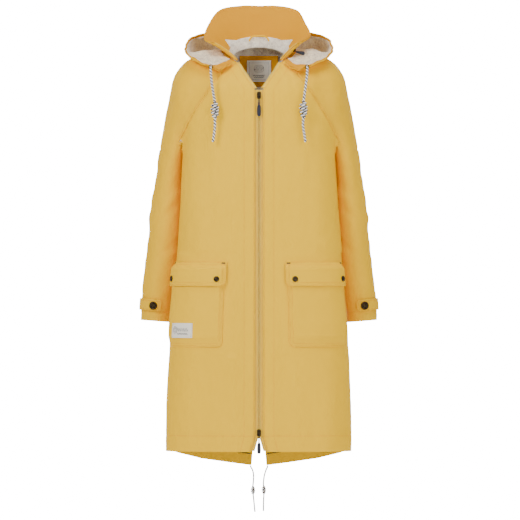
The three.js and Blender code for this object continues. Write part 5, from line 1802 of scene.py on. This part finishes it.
def cord_piece(name, path, radius, material, node):
    """A tube with u round it and v along it in metres, both for the twist."""
    sides = 16
    grid = tube(path, np.concatenate([[radius * 0.6], np.full(len(path) - 2, radius), [radius * 0.6]]), sides)
    verts, faces = closed_tube(grid)
    obj = new_piece(name, place(verts), faces, material, node=node, slot="cord")
    walked = distance_along(path) * MM
    layer = obj.data.uv_layers.new(name="UVMap")
    hub = len(path) * sides
    for poly in obj.data.polygons:
        columns = [v % sides for v in poly.vertices if v < hub]
        wraps = max(columns) - min(columns) > sides / 2
        for loop in poly.loop_indices:
            v = obj.data.loops[loop].vertex_index
            row, column = divmod(v, sides) if v < hub else (hub - v, 0)
            if wraps and column < sides / 2:
                column += sides
            layer.data[loop].uv = (column / sides, walked[row])
    face_outwards(obj)
    return obj


def knot_path(centre, axis, radius, half_length):
    """An overhand knot's bights: the cord wraps round itself twice and tucks back in."""
    t = np.linspace(0, 1, 150)
    turn = t * 2 * math.pi * 4.6
    r = radius * np.sqrt(np.sin(math.pi * np.clip(t, 0.001, 0.999))) * (1 + 0.08 * np.cos(turn * 2))
    z = half_length * (1 - 2 * t) + 0.8 * np.sin(turn)
    axis = np.asarray(axis, float) / np.linalg.norm(axis)
    side = np.cross(axis, [0, 1, 0])
    side /= np.linalg.norm(side)
    front = np.cross(axis, side)
    sideways = np.outer(r * np.cos(turn), side) + np.outer(r * np.sin(turn), front)
    return np.asarray(centre) + sideways + np.outer(z, axis)


for name, (diameter, points, knot_row) in CORDS.items():
    path = spline(points, np.linspace(0, 1, 220))
    look = HOOD_CORD_LOOK if diameter > 4 else HEM_CORD_LOOK
    cord_obj = cord_piece(f"{name}_cord_twist", path, diameter / 2, look, f"{name}_cord")
    hood_cord = diameter > 4
    reach = 7.2 if hood_cord else 3.9
    half = 19.0 if hood_cord else 9.5
    along = np.subtract(points[knot_row - 1], points[knot_row + 1])
    line = knot_path(points[knot_row], along, reach, half)
    knot = cord_piece(f"{name}_cord_knot_wrap", line, diameter / 2 * 0.98, look, f"{name}_cord_knot")


# ---------------------------------------------------------------- room and light
ROOM_GLOW, SEEN_GLOW, LIGHT = 0.15, 16.0, 0.62


def flat_material(name, srgb, roughness=0.9):
    mat, _, shader = blank_material(name, roughness)
    shader.inputs["Base Color"].default_value = (*linear(srgb), 1)
    return mat


def stage_plane(name, corners, material):
    mesh = bpy.data.meshes.new(name)
    mesh.from_pydata(corners, [], [(0, 1, 2, 3)])
    mesh.materials.append(material)
    obj = bpy.data.objects.new(name, mesh)
    bpy.context.collection.objects.link(obj)


ROOM = flat_material("pale_room", (250, 250, 250))
ROOM_SHADER = ROOM.node_tree.nodes["Principled BSDF"]
ROOM_SHADER.inputs["Emission Color"].default_value = (1, 1, 1, 1)
RAY = ROOM.node_tree.nodes.new("ShaderNodeLightPath").outputs["Is Camera Ray"]
GLOW = math_node(ROOM.node_tree, "ADD", math_node(ROOM.node_tree, "MULTIPLY", RAY, SEEN_GLOW), ROOM_GLOW)
link(ROOM.node_tree, GLOW, ROOM_SHADER.inputs["Emission Strength"])
HALF_ROOM, WALL_Y, WALL_TOP_Z, FLOOR_Z = 6, 3, 4, -1.21
stage_plane("floor", [(-HALF_ROOM, -HALF_ROOM, FLOOR_Z), (HALF_ROOM, -HALF_ROOM, FLOOR_Z),
                      (HALF_ROOM, WALL_Y, FLOOR_Z), (-HALF_ROOM, WALL_Y, FLOOR_Z)], ROOM)
stage_plane("wall", [(-HALF_ROOM, WALL_Y, FLOOR_Z), (HALF_ROOM, WALL_Y, FLOOR_Z),
                     (HALF_ROOM, WALL_Y, WALL_TOP_Z), (-HALF_ROOM, WALL_Y, WALL_TOP_Z)], ROOM)


COAT_MIDDLE = (0, 0, -0.55)


def area_light(name, at, size, power):
    data = bpy.data.lights.new(name, "AREA")
    data.size = size
    data.energy = power
    obj = bpy.data.objects.new(name, data)
    bpy.context.collection.objects.link(obj)
    obj.location = at
    obj.rotation_euler = (Vector(COAT_MIDDLE) - Vector(at)).to_track_quat("-Z", "Y").to_euler()


area_light("key", (-2.1, -2.6, 1.5), 1.2, 130 * LIGHT)
area_light("fill", (1.9, -3.0, 0.2), 2.2, 70 * LIGHT)
area_light("top", (0.3, -0.9, 2.0), 1.2, 50 * LIGHT)
world = bpy.data.worlds.new("soft_room")
world.use_nodes = True
world.node_tree.nodes["Background"].inputs["Color"].default_value = (1, 1, 1, 1)
world.node_tree.nodes["Background"].inputs["Strength"].default_value = 0.6 * LIGHT
bpy.context.scene.world = world
